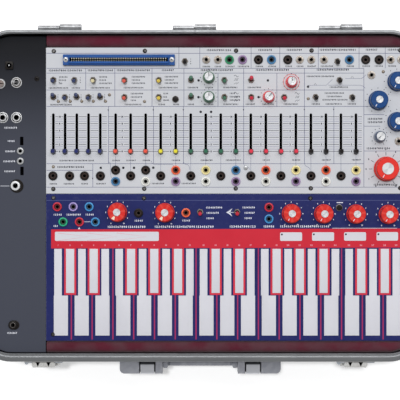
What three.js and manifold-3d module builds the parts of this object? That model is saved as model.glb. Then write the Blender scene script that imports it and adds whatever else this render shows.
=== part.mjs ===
// A performance synthesizer built into the lower half of a hard carrying case.
// Millimetres, +Z up, +X to the player's right, +Y away from the player.
// The origin is on the floor, under the middle of the whole object.

import * as THREE from 'three';
import { mergeVertices } from 'three/addons/utils/BufferGeometryUtils.js';
import Module from 'manifold-3d';

const wasm = await Module();
wasm.setup();

// Gaps between neighbours
const seatGap = 0.3; // between a piece and the neighbour that carries it
const runningGap = 0.3; // between a moving piece and its guide
const cutOverrun = 1; // how far a cutter runs past the face that it leaves

// Facets on round shapes
const roundSides = 8;
const boreSides = 6;
const knobSides = 12;
const cornerSteps = 4;
const edgeSteps = 2;

// Panels, which set the size of everything round them
const mainPanelLength = 442;
const mainPanelDepth = 178;
const keyboardPanelDepth = 179;
const sidePanelLength = 75.4;
const panelThickness = 2;
const panelGap = 0.6;

// Room between the panels and the inside of the rim
const backStrip = 16;
const frontStrip = 14.5;
const rightStrip = 12;
const leftRoom = 2;
const sideBackRoom = 2.4;
const sideFrontRoom = 0.5;

// Carrying case
const rimWidth = 4.8;
const frontRailWidth = 10.2;
const rimLip = 4;
const rimSkirt = 14;
const rimProud = 0.8;
const cornerRadius = 41;
const shellWall = 2;
const shellFloor = 2;
const bottomRound = 9;
const caseHeight = 95;
const restPadHeight = 3;
const restPadRadius = 13;
const restPadInset = 48;
const panelDrop = 9; // from the top of the rim to the panels
const linerDrop = 10.5;
const seamWidth = 0.8;
const seamOffset = -6.3;

// Padding and chassis
const shelfWidth = 28;
const chassisDepth = 34;
const chassisWall = 1.5;
const dividerWidth = 5;
const pillarRadius = 3.5;
const pillarAlongShares = [0.06, 0.5, 0.94];
const pillarUpShares = [0.1, 0.9];
const boardThickness = 1.6;
const boardDrop = 18; // from the underside of the panels to the board's top
const boardMargin = 8;

// Slide controls
const sliderTravel = 42.5;
const sliderCapWidth = 6;
const sliderCapTopWidth = 4.6;
const sliderCapHeight = 9;
const sliderCapLift = 1;
const sliderStemWidth = 1.8;
const sliderStemLength = 3.2;
const sliderEndRoom = 2.5;
const slotWidth = 2.9;
const carriageWidth = 4.4;
const carriageLength = 7;
const carriageHeight = 5;
const slidePotWidth = 9;
const slidePotWall = 3;
const slidePotDrop = 2; // from the underside of the panel to the pot's top
const channelDepth = 12;
const closeSliderCount = 5;
const closeSliderPitchShare = 0.03238;
const closeSliderStartShare = 0.0199;
const wideSliderCount = 17;
const wideSliderPitchShare = 0.04147;
const wideSliderStartShare = 0.1919;
const sliderRestShare = 0.288;
const linkBarHeight = 1.2;

// Round controls
const shaftRadius = 3;
const slimShaftRadius = 2;
const shaftHoleGap = 0.45;
const potWidth = 14;
const potDrop = 5; // from the underside of the panel to a tall pot's top
const lowPotDrop = 11;
const keyboardPotFloor = 3;
const knobLift = 0.6;
const largeKnob = { skirt: 11.8, skirtHeight: 3, body: 11.2, height: 14, cap: 5, capLift: 0.9 };
const masterKnob = { skirt: 15.1, skirtHeight: 4, body: 14.3, height: 16, cap: 7.6, capLift: 0.9 };
const smallKnob = { skirt: 7.3, skirtHeight: 2.4, body: 6.4, height: 13, cap: 5.5, capLift: 0.6 };
const knobTaperShare = 0.95;

// Toggle switches
const toggleTiltDegrees = 11;
const toggleLength = 12.5;
const toggleTipRadius = 1.9;
const toggleNeckRadius = 1.2;
const toggleBallRadius = 2.7;
const toggleBallShare = 0.8; // half the ball's flattened height
const toggleHoleGap = 0.5;
const linkWidth = 1.6;
const linkReach = 9;
const linkGap = 1.2; // between the links of two rows
const frontLinkShare = 0.536; // of the room between the slide pots and the front row
const linkDrop = 5;
const topLinkReach = 7;
const topLinkDrop = 9;
const toggleSides = 6;

// Push buttons
const buttonRadius = 3.4;
const buttonHeight = 2.6;
const buttonLift = 2; // from the panel to the underside of the cap
const buttonStemRadius = 1.8;
const buttonStemLength = 9;

// Sockets
const bananaRadius = 5.6;
const bananaBore = 2;
const miniRadius = 4.9;
const miniBore = 1.75;
const dataJackRadius = 4.5;
const phoneRadius = 6.5;
const phoneBore = 3.4;
const socketCollar = 2.4;
const socketDepth = 13;
const socketFloor = 2;
const phoneDepth = 22;

// Card connector
const cardInset = 21; // from the left end of the panel
const cardToggleGap = 12.3; // from the toggle switch beside it
const cardWidth = 13;
const cardHeight = 8;
const cardSlotWall = 8;
const cardSlotWidth = 2.4;
const cardSlotDepth = 6.5;
const cardRowShare = 0.914;

// Touch plates
const naturalCount = 17;
const keyFieldMargin = 5.4; // from each end of the panel to the first and last gap line
const keyGap = 8; // between the wide parts of two plates
const keyLift = 1;
const keyFrontShare = 0.035;
const keyBackShare = 0.626;
const naturalWideShare = 0.308;
const sharpFrontShare = 0.325;
const keyNeckWidth = 9.4;
const sharpWidth = 10.1;
const octavePitches = 7;
// Centres of the twelve plates' upper parts, as shares of one octave
const keyCentreShares = [
  0.0517, 0.1348, 0.2158, 0.2967, 0.3757, 0.4718, 0.5535, 0.6325, 0.7128, 0.7938, 0.8762, 0.9572,
];
const sharpKeys = [1, 3, 6, 8, 10];
const keyCount = 29;

// Handle
const handleReach = 19;
const bracketWidth = 53;
const bracketHeight = 30;
const bracketGap = 93; // between the two brackets
const bracketChamfer = 6;
const handlePlate = 1.5;
const handlePivotDrop = 37; // from the top of the rim
const handlePivotReach = 9;
const handlePinRadius = 2.4;
const handlePinLength = 9;
const gripThickness = 8;
const gripWidth = 12;
const gripDrop = 22;
const gripArmWidth = 6;
const gripRound = 3;

// Latches and hinges
const latchPlaceShares = [-0.3527, 0.35];
const latchPlateWidth = 46;
const latchPlateHeight = 32;
const latchPlateThickness = 1.4;
const latchTopDrop = 1.5;
const latchLeverWidth = 27;
const latchLeverHeight = 24;
const latchLeverThickness = 7;
const latchEarWidth = 3;
const latchPinRadius = 1.4;
const latchPinLength = 2.4;
const hingePlaceShares = [-0.3158, -0.0129, 0.3158];
const hingeWidth = 53;
const hingeLeafHeight = 22;
const hingeLeafThickness = 1.6;
const hingeBarrelRadius = 4.1;
const hingeSlimBarrelRadius = 3.3;
const hingeDrop = 4;

// Levels, counted up from the floor
const panelTop = caseHeight - panelDrop;
const panelUnder = panelTop - panelThickness;
const linerTop = caseHeight - linerDrop;
const chassisBottom = panelUnder - chassisDepth;
const boardTop = panelUnder - boardDrop;
const boardUnder = boardTop - boardThickness;
const shellInside = restPadHeight + shellFloor;
const shelfTop = chassisBottom - seatGap;
const lipBottom = caseHeight - rimLip;

// Plan, counted from the middle of the carrying case
const caseLength = rimWidth + leftRoom + sidePanelLength + panelGap + mainPanelLength + rightStrip
  + rimWidth;
const caseDepth = rimWidth + backStrip + mainPanelDepth + panelGap + keyboardPanelDepth + frontStrip
  + frontRailWidth;
const rimInside = {
  left: -caseLength / 2 + rimWidth,
  right: caseLength / 2 - rimWidth,
  front: -caseDepth / 2 + frontRailWidth,
  back: caseDepth / 2 - rimWidth,
};
const sidePanel = {
  left: rimInside.left + leftRoom,
  right: rimInside.left + leftRoom + sidePanelLength,
  front: rimInside.front + sideFrontRoom,
  back: rimInside.back - sideBackRoom,
};
const mainPanel = {
  left: sidePanel.right + panelGap,
  right: sidePanel.right + panelGap + mainPanelLength,
  front: rimInside.back - backStrip - mainPanelDepth,
  back: rimInside.back - backStrip,
};
const keyboardPanel = {
  left: mainPanel.left,
  right: mainPanel.right,
  front: mainPanel.front - panelGap - keyboardPanelDepth,
  back: mainPanel.front - panelGap,
};
const shellFront = -caseDepth / 2 + rimProud;
const shellBack = caseDepth / 2 - rimProud;

// A place on a panel from shares of its length and depth
function placeOn(panel, [alongShare, upShare]) {
  const x = panel.left + alongShare * (panel.right - panel.left);
  const y = panel.front + upShare * (panel.back - panel.front);
  return [x, y];
}

// Rows of places on the main panel, as shares of its depth
const topRowShare = 0.917;
const topToggleRowShare = 0.906;
const singleJackRowShare = 0.121;
const upperJackRowShare = 0.16;
const lowerJackRowShare = 0.083;

// Places along the main panel, as shares of its length
const topToggleShares = [0.383, 0.804];
const upperDownShares = [0.02, 0.078, 0.13, 0.216, 0.311, 0.492, 0.81];
const upperUpShares = [0.4, 0.566];
const lowerDownShares = [0.052, 0.117, 0.216, 0.311, 0.492, 0.566, 0.657, 0.744, 0.845];
const lowerUpShares = [0.02, 0.084, 0.149, 0.4];
const topBananaShares = [0.506, 0.542, 0.586, 0.622, 0.667, 0.837, 0.882, 0.919];
const topMiniShares = [0.442, 0.474, 0.7, 0.732, 0.767, 0.951, 0.98];
const looseMiniShares = [[0.898, 0.812], [0.973, 0.358]];
const closeJackShares = [0.019, 0.065, 0.106, 0.15];

// Rows in the field behind the slide pots, as shares of that field's depth
const upperToggleRowShare = 0.4877;
const lowerToggleRowShare = 0.2177;
const mainButtonShares = [0.357, 0.1831];

const mainKnobs = {
  knob_green_back: { placeShares: [0.449, 0.795], shape: smallKnob, slim: true, colour: 'green' },
  knob_green_front: { placeShares: [0.449, 0.661], shape: smallKnob, slim: true, colour: 'green' },
  knob_crimson_back: { placeShares: [0.677, 0.764], shape: smallKnob, slim: true, colour: 'crimson' },
  knob_crimson_front: { placeShares: [0.614, 0.661], shape: smallKnob, slim: true, colour: 'crimson' },
  knob_grey: { placeShares: [0.92, 0.389], shape: smallKnob, slim: true, colour: 'grey' },
  knob_blue_back: { placeShares: [0.968, 0.768], shape: largeKnob, slim: false, colour: 'blue' },
  knob_blue_middle: { placeShares: [0.916, 0.638], shape: largeKnob, slim: false, colour: 'blue' },
  knob_blue_front: { placeShares: [0.968, 0.492], shape: largeKnob, slim: false, colour: 'blue' },
  knob_master: { placeShares: [0.938, 0.168], shape: masterKnob, slim: false, colour: 'red' },
};

// Places on the keyboard panel
const keyboardKnobShares = [
  [0.197, 0.875], [0.328, 0.873], [0.677, 0.866], [0.766, 0.865], [0.855, 0.863], [0.944, 0.861],
];
const keyboardToggleShares = [0.425, 0.527];
const keyboardToggleRowShare = 0.877;
const keyboardButtonShares = [0.809, 0.907];
const keyboardJackShares = [
  [0.031, 0.913], [0.075, 0.913], [0.119, 0.913], [0.047, 0.81], [0.092, 0.81], [0.136, 0.81],
  [0.255, 0.87], [0.386, 0.872], [0.615, 0.909], [0.615, 0.83],
];

// Places on the side panel
const inletShares = [0.413, 0.908];
const inletWidth = 9.6;
const inletBore = 2.8;
const inletPinRadius = 0.9;
const powerSwitchShares = [0.529, 0.854];
const fuseShares = [0.27, 0.85];
const fuseRadius = 6.1;
const phoneJackShares = [[0.307, 0.743], [0.529, 0.743], [0.513, 0.527]];
const dataJackShares = [[0.592, 0.637], [0.592, 0.605]];
const groundJackShares = [0.472, 0.086];
const portShares = [[0.613, 0.669], [0.617, 0.574]];
const portWidth = 3.1;
const portLength = 9.4;

// Plain materials
const palette = {
  caseMetal: new THREE.MeshStandardMaterial({ color: 0x6b6e74, roughness: 0.45, metalness: 0.8 }),
  rimMetal: new THREE.MeshStandardMaterial({ color: 0x9a9da3, roughness: 0.35, metalness: 0.9 }),
  padding: new THREE.MeshStandardMaterial({ color: 0x55192a, roughness: 0.95, metalness: 0 }),
  chassis: new THREE.MeshStandardMaterial({ color: 0xb4b7bb, roughness: 0.5, metalness: 0.8 }),
  white: new THREE.MeshStandardMaterial({ color: 0xd6d8e0, roughness: 0.5, metalness: 0.1 }),
  blueBoard: new THREE.MeshStandardMaterial({ color: 0x20266e, roughness: 0.4, metalness: 0.1 }),
  charcoal: new THREE.MeshStandardMaterial({ color: 0x464850, roughness: 0.6, metalness: 0.3 }),
  circuit: new THREE.MeshStandardMaterial({ color: 0x1f5a36, roughness: 0.5, metalness: 0.1 }),
  silver: new THREE.MeshStandardMaterial({ color: 0xc8cacf, roughness: 0.25, metalness: 0.9 }),
  grey: new THREE.MeshStandardMaterial({ color: 0x9696a0, roughness: 0.5, metalness: 0.1 }),
  black: new THREE.MeshStandardMaterial({ color: 0x231e1e, roughness: 0.5, metalness: 0.1 }),
  blue: new THREE.MeshStandardMaterial({ color: 0x194b96, roughness: 0.4, metalness: 0.1 }),
  red: new THREE.MeshStandardMaterial({ color: 0xe1372d, roughness: 0.4, metalness: 0.1 }),
  orange: new THREE.MeshStandardMaterial({ color: 0xf05f4b, roughness: 0.4, metalness: 0.1 }),
  yellow: new THREE.MeshStandardMaterial({ color: 0xebe13c, roughness: 0.4, metalness: 0.1 }),
  green: new THREE.MeshStandardMaterial({ color: 0x326e55, roughness: 0.4, metalness: 0.1 }),
  crimson: new THREE.MeshStandardMaterial({ color: 0xe13c55, roughness: 0.4, metalness: 0.1 }),
};

// A closed three.js geometry as a solid that can be joined and cut
function solidOf(geometry) {
  const bare = geometry.clone();
  for (const name of Object.keys(bare.attributes)) {
    if (name !== 'position') bare.deleteAttribute(name);
  }
  const merged = mergeVertices(bare);
  const mesh = new wasm.Mesh({
    numProp: 3,
    vertProperties: new Float32Array(merged.attributes.position.array),
    triVerts: new Uint32Array(merged.index.array),
  });
  mesh.merge();
  return new wasm.Manifold(mesh);
}

// A solid back as a three.js geometry
function geometryOf(solid) {
  const mesh = solid.getMesh();
  const geometry = new THREE.BufferGeometry();
  geometry.setAttribute('position', new THREE.BufferAttribute(mesh.vertProperties, 3));
  geometry.setIndex(new THREE.BufferAttribute(mesh.triVerts, 1));
  geometry.computeVertexNormals();
  return geometry;
}

function joinAll(solids) {
  return solids.reduce((whole, piece) => whole.add(piece));
}

function cutAll(body, cutters) {
  return cutters.length ? body.subtract(joinAll(cutters)) : body;
}

// A box between two corners
function box([left, front, low], [right, back, high]) {
  const geometry = new THREE.BoxGeometry(right - left, back - front, high - low);
  geometry.translate((left + right) / 2, (front + back) / 2, (low + high) / 2);
  return solidOf(geometry);
}

// A box centred on a place, from a low level to a high one
function block([x, y], width, depth, low, high) {
  return box([x - width / 2, y - depth / 2, low], [x + width / 2, y + depth / 2, high]);
}

// An upright disc or post, turned so that its flats face along the axes
function post([x, y], radius, low, high, sides = roundSides) {
  const geometry = new THREE.CylinderGeometry(radius, radius, high - low, sides);
  geometry.rotateX(Math.PI / 2);
  geometry.rotateZ(Math.PI / sides);
  geometry.translate(x, y, (low + high) / 2);
  return solidOf(geometry);
}

// A round bar along X
function bar(left, right, y, z, radius, sides = roundSides) {
  const geometry = new THREE.CylinderGeometry(radius, radius, right - left, sides);
  geometry.rotateZ(Math.PI / 2);
  geometry.translate((left + right) / 2, y, z);
  return solidOf(geometry);
}

// A turned piece from radius and height pairs, upright on its own axis
function turned(profile, sides) {
  const points = profile.map(([radius, height]) => new THREE.Vector2(radius, height));
  const geometry = new THREE.LatheGeometry(points, sides);
  geometry.rotateX(Math.PI / 2);
  return solidOf(geometry);
}

// A flat outline raised between two levels
function raised(points, low, high) {
  const outline = new THREE.Shape(points.map(([x, y]) => new THREE.Vector2(x, y)));
  const geometry = new THREE.ExtrudeGeometry(outline, { depth: high - low, bevelEnabled: false });
  geometry.translate(0, 0, low);
  return solidOf(geometry);
}

function roundedOutline({ left, right, front, back }, radius) {
  const outline = new THREE.Shape();
  outline.moveTo(left + radius, front);
  outline.lineTo(right - radius, front);
  outline.absarc(right - radius, front + radius, radius, -Math.PI / 2, 0);
  outline.lineTo(right, back - radius);
  outline.absarc(right - radius, back - radius, radius, 0, Math.PI / 2);
  outline.lineTo(left + radius, back);
  outline.absarc(left + radius, back - radius, radius, Math.PI / 2, Math.PI);
  outline.lineTo(left, front + radius);
  outline.absarc(left + radius, front + radius, radius, Math.PI, (Math.PI * 3) / 2);
  return outline;
}

// A slab with rounded corners between two levels, its lower edge rounded if asked
function roundedSlab(plan, radius, low, high, edgeRound = 0) {
  const grown = {
    left: plan.left + edgeRound,
    right: plan.right - edgeRound,
    front: plan.front + edgeRound,
    back: plan.back - edgeRound,
  };
  const geometry = new THREE.ExtrudeGeometry(roundedOutline(grown, radius - edgeRound), {
    depth: high - low,
    curveSegments: cornerSteps,
    bevelEnabled: edgeRound > 0,
    bevelThickness: edgeRound,
    bevelSize: edgeRound,
    bevelSegments: edgeSteps,
  });
  geometry.translate(0, 0, low + edgeRound);
  return solidOf(geometry);
}

// The plan of the case at an inset from the rim's outer face
function casePlan(inset) {
  return {
    left: -caseLength / 2 + inset,
    right: caseLength / 2 - inset,
    front: -caseDepth / 2 + inset,
    back: caseDepth / 2 - inset,
  };
}

function shrink(plan, inset) {
  return {
    left: plan.left + inset,
    right: plan.right - inset,
    front: plan.front + inset,
    back: plan.back - inset,
  };
}

const model = new THREE.Group();

function add(name, solid, material, x = 0, y = 0, z = 0) {
  const mesh = new THREE.Mesh(geometryOf(solid), palette[material]);
  mesh.name = name;
  mesh.position.set(x, y, z);
  model.add(mesh);
}

// Slide controls: where each one stands on the main panel
const slotLength = sliderTravel + sliderStemLength + 2 * sliderEndRoom;
const sliderRestY = placeOn(mainPanel, [0, sliderRestShare])[1];
const slotMiddleY = sliderRestY + sliderTravel / 2;

// Part of the main panel behind the slide pots, for two rows of toggle switches and the button
const controlField = { ...mainPanel, front: slotMiddleY + slotLength / 2 + slidePotWall };
const mainButtonPlace = placeOn(controlField, mainButtonShares);

function evenXs(count, startShare, pitchShare) {
  const shares = Array.from({ length: count }, (_, i) => startShare + i * pitchShare);
  return shares.map((share) => placeOn(mainPanel, [share, 0])[0]);
}

const closeSliderXs = evenXs(closeSliderCount, closeSliderStartShare, closeSliderPitchShare);
const wideSliderXs = evenXs(wideSliderCount, wideSliderStartShare, wideSliderPitchShare);
const sliderXs = [...closeSliderXs, ...wideSliderXs];
const sliderColours = [
  ['orange', 3],
  ['yellow', 2],
  ['green', 4],
  ['crimson', 4],
  ['black', 4],
];

// Sockets on the main panel: single ones under every other slider, pairs under the rest
function rowPlaces(shares, rowShare, field = mainPanel) {
  return shares.map((share) => placeOn(field, [share, rowShare]));
}

function underSliders(first, rowShare) {
  const y = placeOn(mainPanel, [0, rowShare])[1];
  return wideSliderXs.filter((_, i) => i % 2 === first).map((x) => [x, y]);
}

const bananaPlaces = [
  ...rowPlaces(topBananaShares, topRowShare),
  ...rowPlaces(closeJackShares, singleJackRowShare),
  ...underSliders(1, singleJackRowShare),
  ...underSliders(0, upperJackRowShare),
  ...underSliders(0, lowerJackRowShare),
];
const miniPlaces = [
  ...rowPlaces(topMiniShares, topRowShare),
  ...looseMiniShares.map((shares) => placeOn(mainPanel, shares)),
];
const socketBodies = [
  ...bananaPlaces.map((place) => ({ place, radius: bananaRadius, bore: bananaBore })),
  ...miniPlaces.map((place) => ({ place, radius: miniRadius, bore: miniBore })),
];

// Toggle switches in rows: levers that lean the same way are linked under the panel
const upperToggleY = placeOn(controlField, [0, upperToggleRowShare])[1];
const lowerToggleY = placeOn(controlField, [0, lowerToggleRowShare])[1];
const lowLink = { reach: linkReach, drop: linkDrop };
const rowLink = { reach: (upperToggleY - lowerToggleY - linkWidth - linkGap) / 2, drop: linkDrop };
const frontLink = { reach: (lowerToggleY - controlField.front) * frontLinkShare, drop: linkDrop };
const topLink = { reach: -topLinkReach, drop: topLinkDrop };

function toggleRow(name, places, up, link) {
  return { name, places, up, link };
}

const upperRow = (shares) => rowPlaces(shares, upperToggleRowShare, controlField);
const lowerRow = (shares) => rowPlaces(shares, lowerToggleRowShare, controlField);

const toggleRows = [
  toggleRow('toggles_top', rowPlaces(topToggleShares, topToggleRowShare), false, topLink),
  toggleRow('toggles_back_down', upperRow(upperDownShares), false, rowLink),
  toggleRow('toggles_back_up', upperRow(upperUpShares), true, rowLink),
  toggleRow('toggles_front_down', lowerRow(lowerDownShares), false, rowLink),
  toggleRow('toggles_front_up', lowerRow(lowerUpShares), true, frontLink),
];
const keyboardTogglePlaces = keyboardToggleShares.map(
  (share) => placeOn(keyboardPanel, [share, keyboardToggleRowShare]),
);
const toggleHole = toggleBallRadius + toggleHoleGap;

function toggleHoles(places) {
  return places.map((place) => (
    post(place, toggleHole, panelUnder - cutOverrun, panelTop + cutOverrun, toggleSides)
  ));
}

// Lower half of the case, with four round rests pressed out of its floor
function caseShell() {
  const outside = casePlan(rimProud);
  const outsideRadius = cornerRadius - rimProud;
  const body = roundedSlab(outside, outsideRadius, restPadHeight, lipBottom, bottomRound);
  const hollow = roundedSlab(
    shrink(outside, shellWall),
    outsideRadius - shellWall,
    shellInside,
    lipBottom,
    bottomRound - shellWall,
  );
  const above = box(
    [-caseLength, -caseDepth, lipBottom],
    [caseLength, caseDepth, lipBottom + bottomRound * 3],
  );
  const pads = [];
  for (const x of [-caseLength / 2 + restPadInset, caseLength / 2 - restPadInset]) {
    for (const y of [-caseDepth / 2 + restPadInset, caseDepth / 2 - restPadInset]) {
      pads.push(post([x, y], restPadRadius, 0, restPadHeight + shellFloor / 2, knobSides));
    }
  }
  return cutAll(body, [hollow, above]).add(joinAll(pads));
}

// Metal rim: a lip over the edge of the shell and a skirt inside it, wider in front
function caseRim() {
  const skirtPlan = shrink(casePlan(rimProud), shellWall + seatGap);
  const skirtRadius = cornerRadius - rimProud - shellWall - seatGap;
  const lip = roundedSlab(casePlan(0), cornerRadius, lipBottom, caseHeight);
  const skirt = roundedSlab(skirtPlan, skirtRadius, lipBottom - rimSkirt, lipBottom + rimLip / 2);
  const low = lipBottom - rimSkirt - cutOverrun;
  const high = caseHeight + cutOverrun;
  const inside = roundedSlab(rimInside, cornerRadius - rimWidth, low, high);
  const seam = box(
    [seamOffset - seamWidth / 2, rimInside.back - cutOverrun, low],
    [seamOffset + seamWidth / 2, caseDepth / 2 + cutOverrun, high],
  );
  return cutAll(lip.add(skirt), [inside, seam]);
}

// Padding: a shelf all round that carries the chassis, and strips beside the panels
function caseLiner() {
  const shellPlan = shrink(casePlan(rimProud), shellWall + seatGap);
  const shellRadius = cornerRadius - rimProud - shellWall - seatGap;
  const shelfLow = shellInside + seatGap;
  const shelf = roundedSlab(shellPlan, shellRadius, shelfLow, shelfTop, bottomRound - shellWall)
    .intersect(box([-caseLength, -caseDepth, 0], [caseLength, caseDepth, shelfTop]));
  const well = box(
    [sidePanel.left + shelfWidth, keyboardPanel.front + shelfWidth, 0],
    [mainPanel.right - shelfWidth, mainPanel.back - shelfWidth, caseHeight],
  );
  const strips = roundedSlab(
    shrink(rimInside, seatGap),
    cornerRadius - rimWidth - seatGap,
    shelfTop - cutOverrun,
    linerTop,
  );
  const besidePanels = box(
    [-caseLength, keyboardPanel.front - seatGap, shelfTop],
    [mainPanel.right + seatGap, mainPanel.back + seatGap, caseHeight],
  );
  const underSidePanel = box(
    [-caseLength, -caseDepth, shelfTop],
    [mainPanel.left, caseDepth, caseHeight],
  );
  return cutAll(shelf.add(strips), [well, besidePanels, underSidePanel]);
}

// The side panel's plan has round left corners that follow the case
function leftRoundedSlab(plan, radius, low, high) {
  const wide = { ...plan, right: plan.right + 2 * radius };
  return roundedSlab(wide, radius, low, high)
    .intersect(box([plan.left, plan.front, low], [plan.right, plan.back, high]));
}

const sideRadius = cornerRadius - rimWidth;

// Folded metal tray with three bays; the panels lie on its edges
function chassisTray() {
  const floorTop = chassisBottom + chassisWall;
  const high = panelUnder + cutOverrun;
  const half = dividerWidth / 2;
  const body = leftRoundedSlab(sidePanel, sideRadius, chassisBottom, panelUnder).add(
    box(
      [sidePanel.right - cutOverrun, keyboardPanel.front, chassisBottom],
      [mainPanel.right, mainPanel.back, panelUnder],
    ),
  );
  const sideBay = leftRoundedSlab(
    {
      left: sidePanel.left + chassisWall,
      right: sidePanel.right - half,
      front: sidePanel.front + chassisWall,
      back: sidePanel.back - chassisWall,
    },
    sideRadius - chassisWall,
    floorTop,
    high,
  );
  const mainBay = box(
    [mainPanel.left + half, mainPanel.front + half, floorTop],
    [mainPanel.right - chassisWall, mainPanel.back - chassisWall, high],
  );
  const keyboardBay = box(
    [keyboardPanel.left + half, keyboardPanel.front + chassisWall, floorTop],
    [keyboardPanel.right - chassisWall, keyboardPanel.back - half, high],
  );
  const pillars = [];
  for (const along of pillarAlongShares) {
    for (const up of pillarUpShares) {
      pillars.push(post(placeOn(mainPanel, [along, up]), pillarRadius, chassisBottom, boardUnder));
    }
  }
  return cutAll(body, [sideBay, mainBay, keyboardBay]).add(joinAll(pillars));
}

// White panel with its slots and holes
function mainPanelPlate() {
  const low = panelUnder - cutOverrun;
  const high = panelTop + cutOverrun;
  const slots = sliderXs.map((x) => block([x, slotMiddleY], slotWidth, slotLength, low, high));
  const sockets = socketBodies.map(({ place, radius }) => post(place, radius + shaftHoleGap, low, high));
  const shafts = Object.values(mainKnobs).map(({ placeShares, slim }) => (
    post(placeOn(mainPanel, placeShares), (slim ? slimShaftRadius : shaftRadius) + shaftHoleGap, low, high)
  ));
  const toggles = toggleRows.flatMap(({ places }) => toggleHoles(places));
  const button = post(mainButtonPlace, buttonStemRadius + shaftHoleGap, low, high);
  const plate = box(
    [mainPanel.left, mainPanel.front, panelUnder],
    [mainPanel.right, mainPanel.back, panelTop],
  );
  return cutAll(plate, [...slots, ...sockets, ...shafts, ...toggles, button]);
}

// Circuit board under the main panel, with its slide pots, round pots and sockets
const mainBoardPlan = shrink(mainPanel, boardMargin);

function mainBoard() {
  const board = box(
    [mainBoardPlan.left, mainBoardPlan.front, boardUnder],
    [mainBoardPlan.right, mainBoardPlan.back, boardTop],
  );
  const slidePotTop = panelUnder - slidePotDrop;
  const slidePots = sliderXs.map((x) => (
    block([x, slotMiddleY], slidePotWidth, slotLength + 2 * slidePotWall, boardUnder, slidePotTop)
  ));
  const channels = sliderXs.map((x) => (
    block(
      [x, slotMiddleY],
      carriageWidth + 2 * runningGap,
      slotLength,
      slidePotTop - channelDepth,
      slidePotTop + cutOverrun,
    )
  ));
  const pots = Object.values(mainKnobs).map(({ placeShares, slim }) => (
    block(
      placeOn(mainPanel, placeShares),
      potWidth,
      potWidth,
      boardUnder,
      panelUnder - (slim ? lowPotDrop : potDrop),
    )
  ));
  const socketTop = panelTop + socketCollar;
  const sockets = socketBodies.map(({ place, radius }) => post(place, radius, boardUnder, socketTop));
  const bores = socketBodies.map(({ place, bore }) => (
    post(place, bore, socketTop - socketDepth, socketTop + cutOverrun, boreSides)
  ));
  const switchHousing = block(
    mainButtonPlace,
    buttonRadius * 2,
    buttonRadius * 2,
    boardUnder,
    panelTop - buttonStemLength - buttonLift,
  );
  const loaded = joinAll([board, ...slidePots, ...pots, ...sockets, switchHousing]);
  return cutAll(loaded, [...channels, ...bores]);
}

// A slide control's cap, stem and carriage, about its own place on the panel
function sliderSolid(offset = 0) {
  const capRadius = (width) => width / Math.SQRT2;
  const geometry = new THREE.CylinderGeometry(
    capRadius(sliderCapTopWidth),
    capRadius(sliderCapWidth),
    sliderCapHeight,
    4,
  );
  geometry.rotateX(Math.PI / 2);
  geometry.rotateZ(Math.PI / 4);
  geometry.translate(offset, 0, sliderCapLift + sliderCapHeight / 2);
  const cap = solidOf(geometry);
  const carriageLow = -panelThickness - slidePotDrop - channelDepth + seatGap;
  const stemTop = sliderCapLift + linkBarHeight;
  const stem = block([offset, 0], sliderStemWidth, sliderStemLength, carriageLow, stemTop);
  const carriageTop = carriageLow + carriageHeight;
  const carriage = block([offset, 0], carriageWidth, carriageLength, carriageLow, carriageTop);
  return joinAll([cap, stem, carriage]);
}

function addSliders() {
  const bank = closeSliderXs.map((x) => sliderSolid(x - closeSliderXs[0]));
  const barLevel = -panelThickness - slidePotDrop / 2;
  const bankLength = closeSliderXs[closeSliderCount - 1] - closeSliderXs[0];
  const linkBar = box(
    [0, -sliderStemLength / 2, barLevel - linkBarHeight / 2],
    [bankLength, sliderStemLength / 2, barLevel + linkBarHeight / 2],
  );
  add('sliders_blue', joinAll([...bank, linkBar]), 'blue', closeSliderXs[0], sliderRestY, panelTop);
  let column = 0;
  for (const [colour, count] of sliderColours) {
    for (let i = 1; i <= count; i += 1) {
      add(`slider_${colour}_${i}`, sliderSolid(), colour, wideSliderXs[column], sliderRestY, panelTop);
      column += 1;
    }
  }
}

// A knob with its shaft, about its own place on the panel
function knobSolid(shape, shaft, shaftDepth) {
  const top = knobLift + shape.height;
  return turned(
    [
      [0, -shaftDepth],
      [shaft, -shaftDepth],
      [shaft, knobLift],
      [shape.skirt, knobLift],
      [shape.skirt, knobLift + shape.skirtHeight],
      [shape.body, knobLift + shape.skirtHeight],
      [shape.body * knobTaperShare, top],
      [shape.cap, top],
      [shape.cap, top + shape.capLift],
      [0, top + shape.capLift],
    ],
    knobSides,
  );
}

function addKnobs() {
  for (const [name, { placeShares, shape, slim, colour }] of Object.entries(mainKnobs)) {
    const drop = slim ? lowPotDrop : potDrop;
    const radius = slim ? slimShaftRadius : shaftRadius;
    const solid = knobSolid(shape, radius, panelThickness + drop - seatGap);
    add(name, solid, colour, ...placeOn(mainPanel, placeShares), panelTop);
  }
  keyboardKnobShares.forEach((placeShares, i) => {
    const solid = knobSolid(largeKnob, shaftRadius, panelThickness + potDrop - seatGap);
    add(`knob_keyboard_${i + 1}`, solid, 'red', ...placeOn(keyboardPanel, placeShares), panelTop);
  });
}

// One toggle lever leaning by an angle about X or Y, with its ball on the pivot
function toggleLever(tiltX, tiltY) {
  const profile = [
    [0, -toggleBallRadius * toggleBallShare],
    [toggleBallRadius, 0],
    [toggleNeckRadius, toggleBallRadius * toggleBallShare],
    [toggleTipRadius, toggleLength - toggleTipRadius / 2],
    [0, toggleLength],
  ];
  const points = profile.map(([radius, height]) => new THREE.Vector2(radius, height));
  const geometry = new THREE.LatheGeometry(points, toggleSides);
  geometry.rotateX(Math.PI / 2);
  geometry.rotateX(THREE.MathUtils.degToRad(tiltX));
  geometry.rotateY(THREE.MathUtils.degToRad(tiltY));
  return geometry;
}

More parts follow.
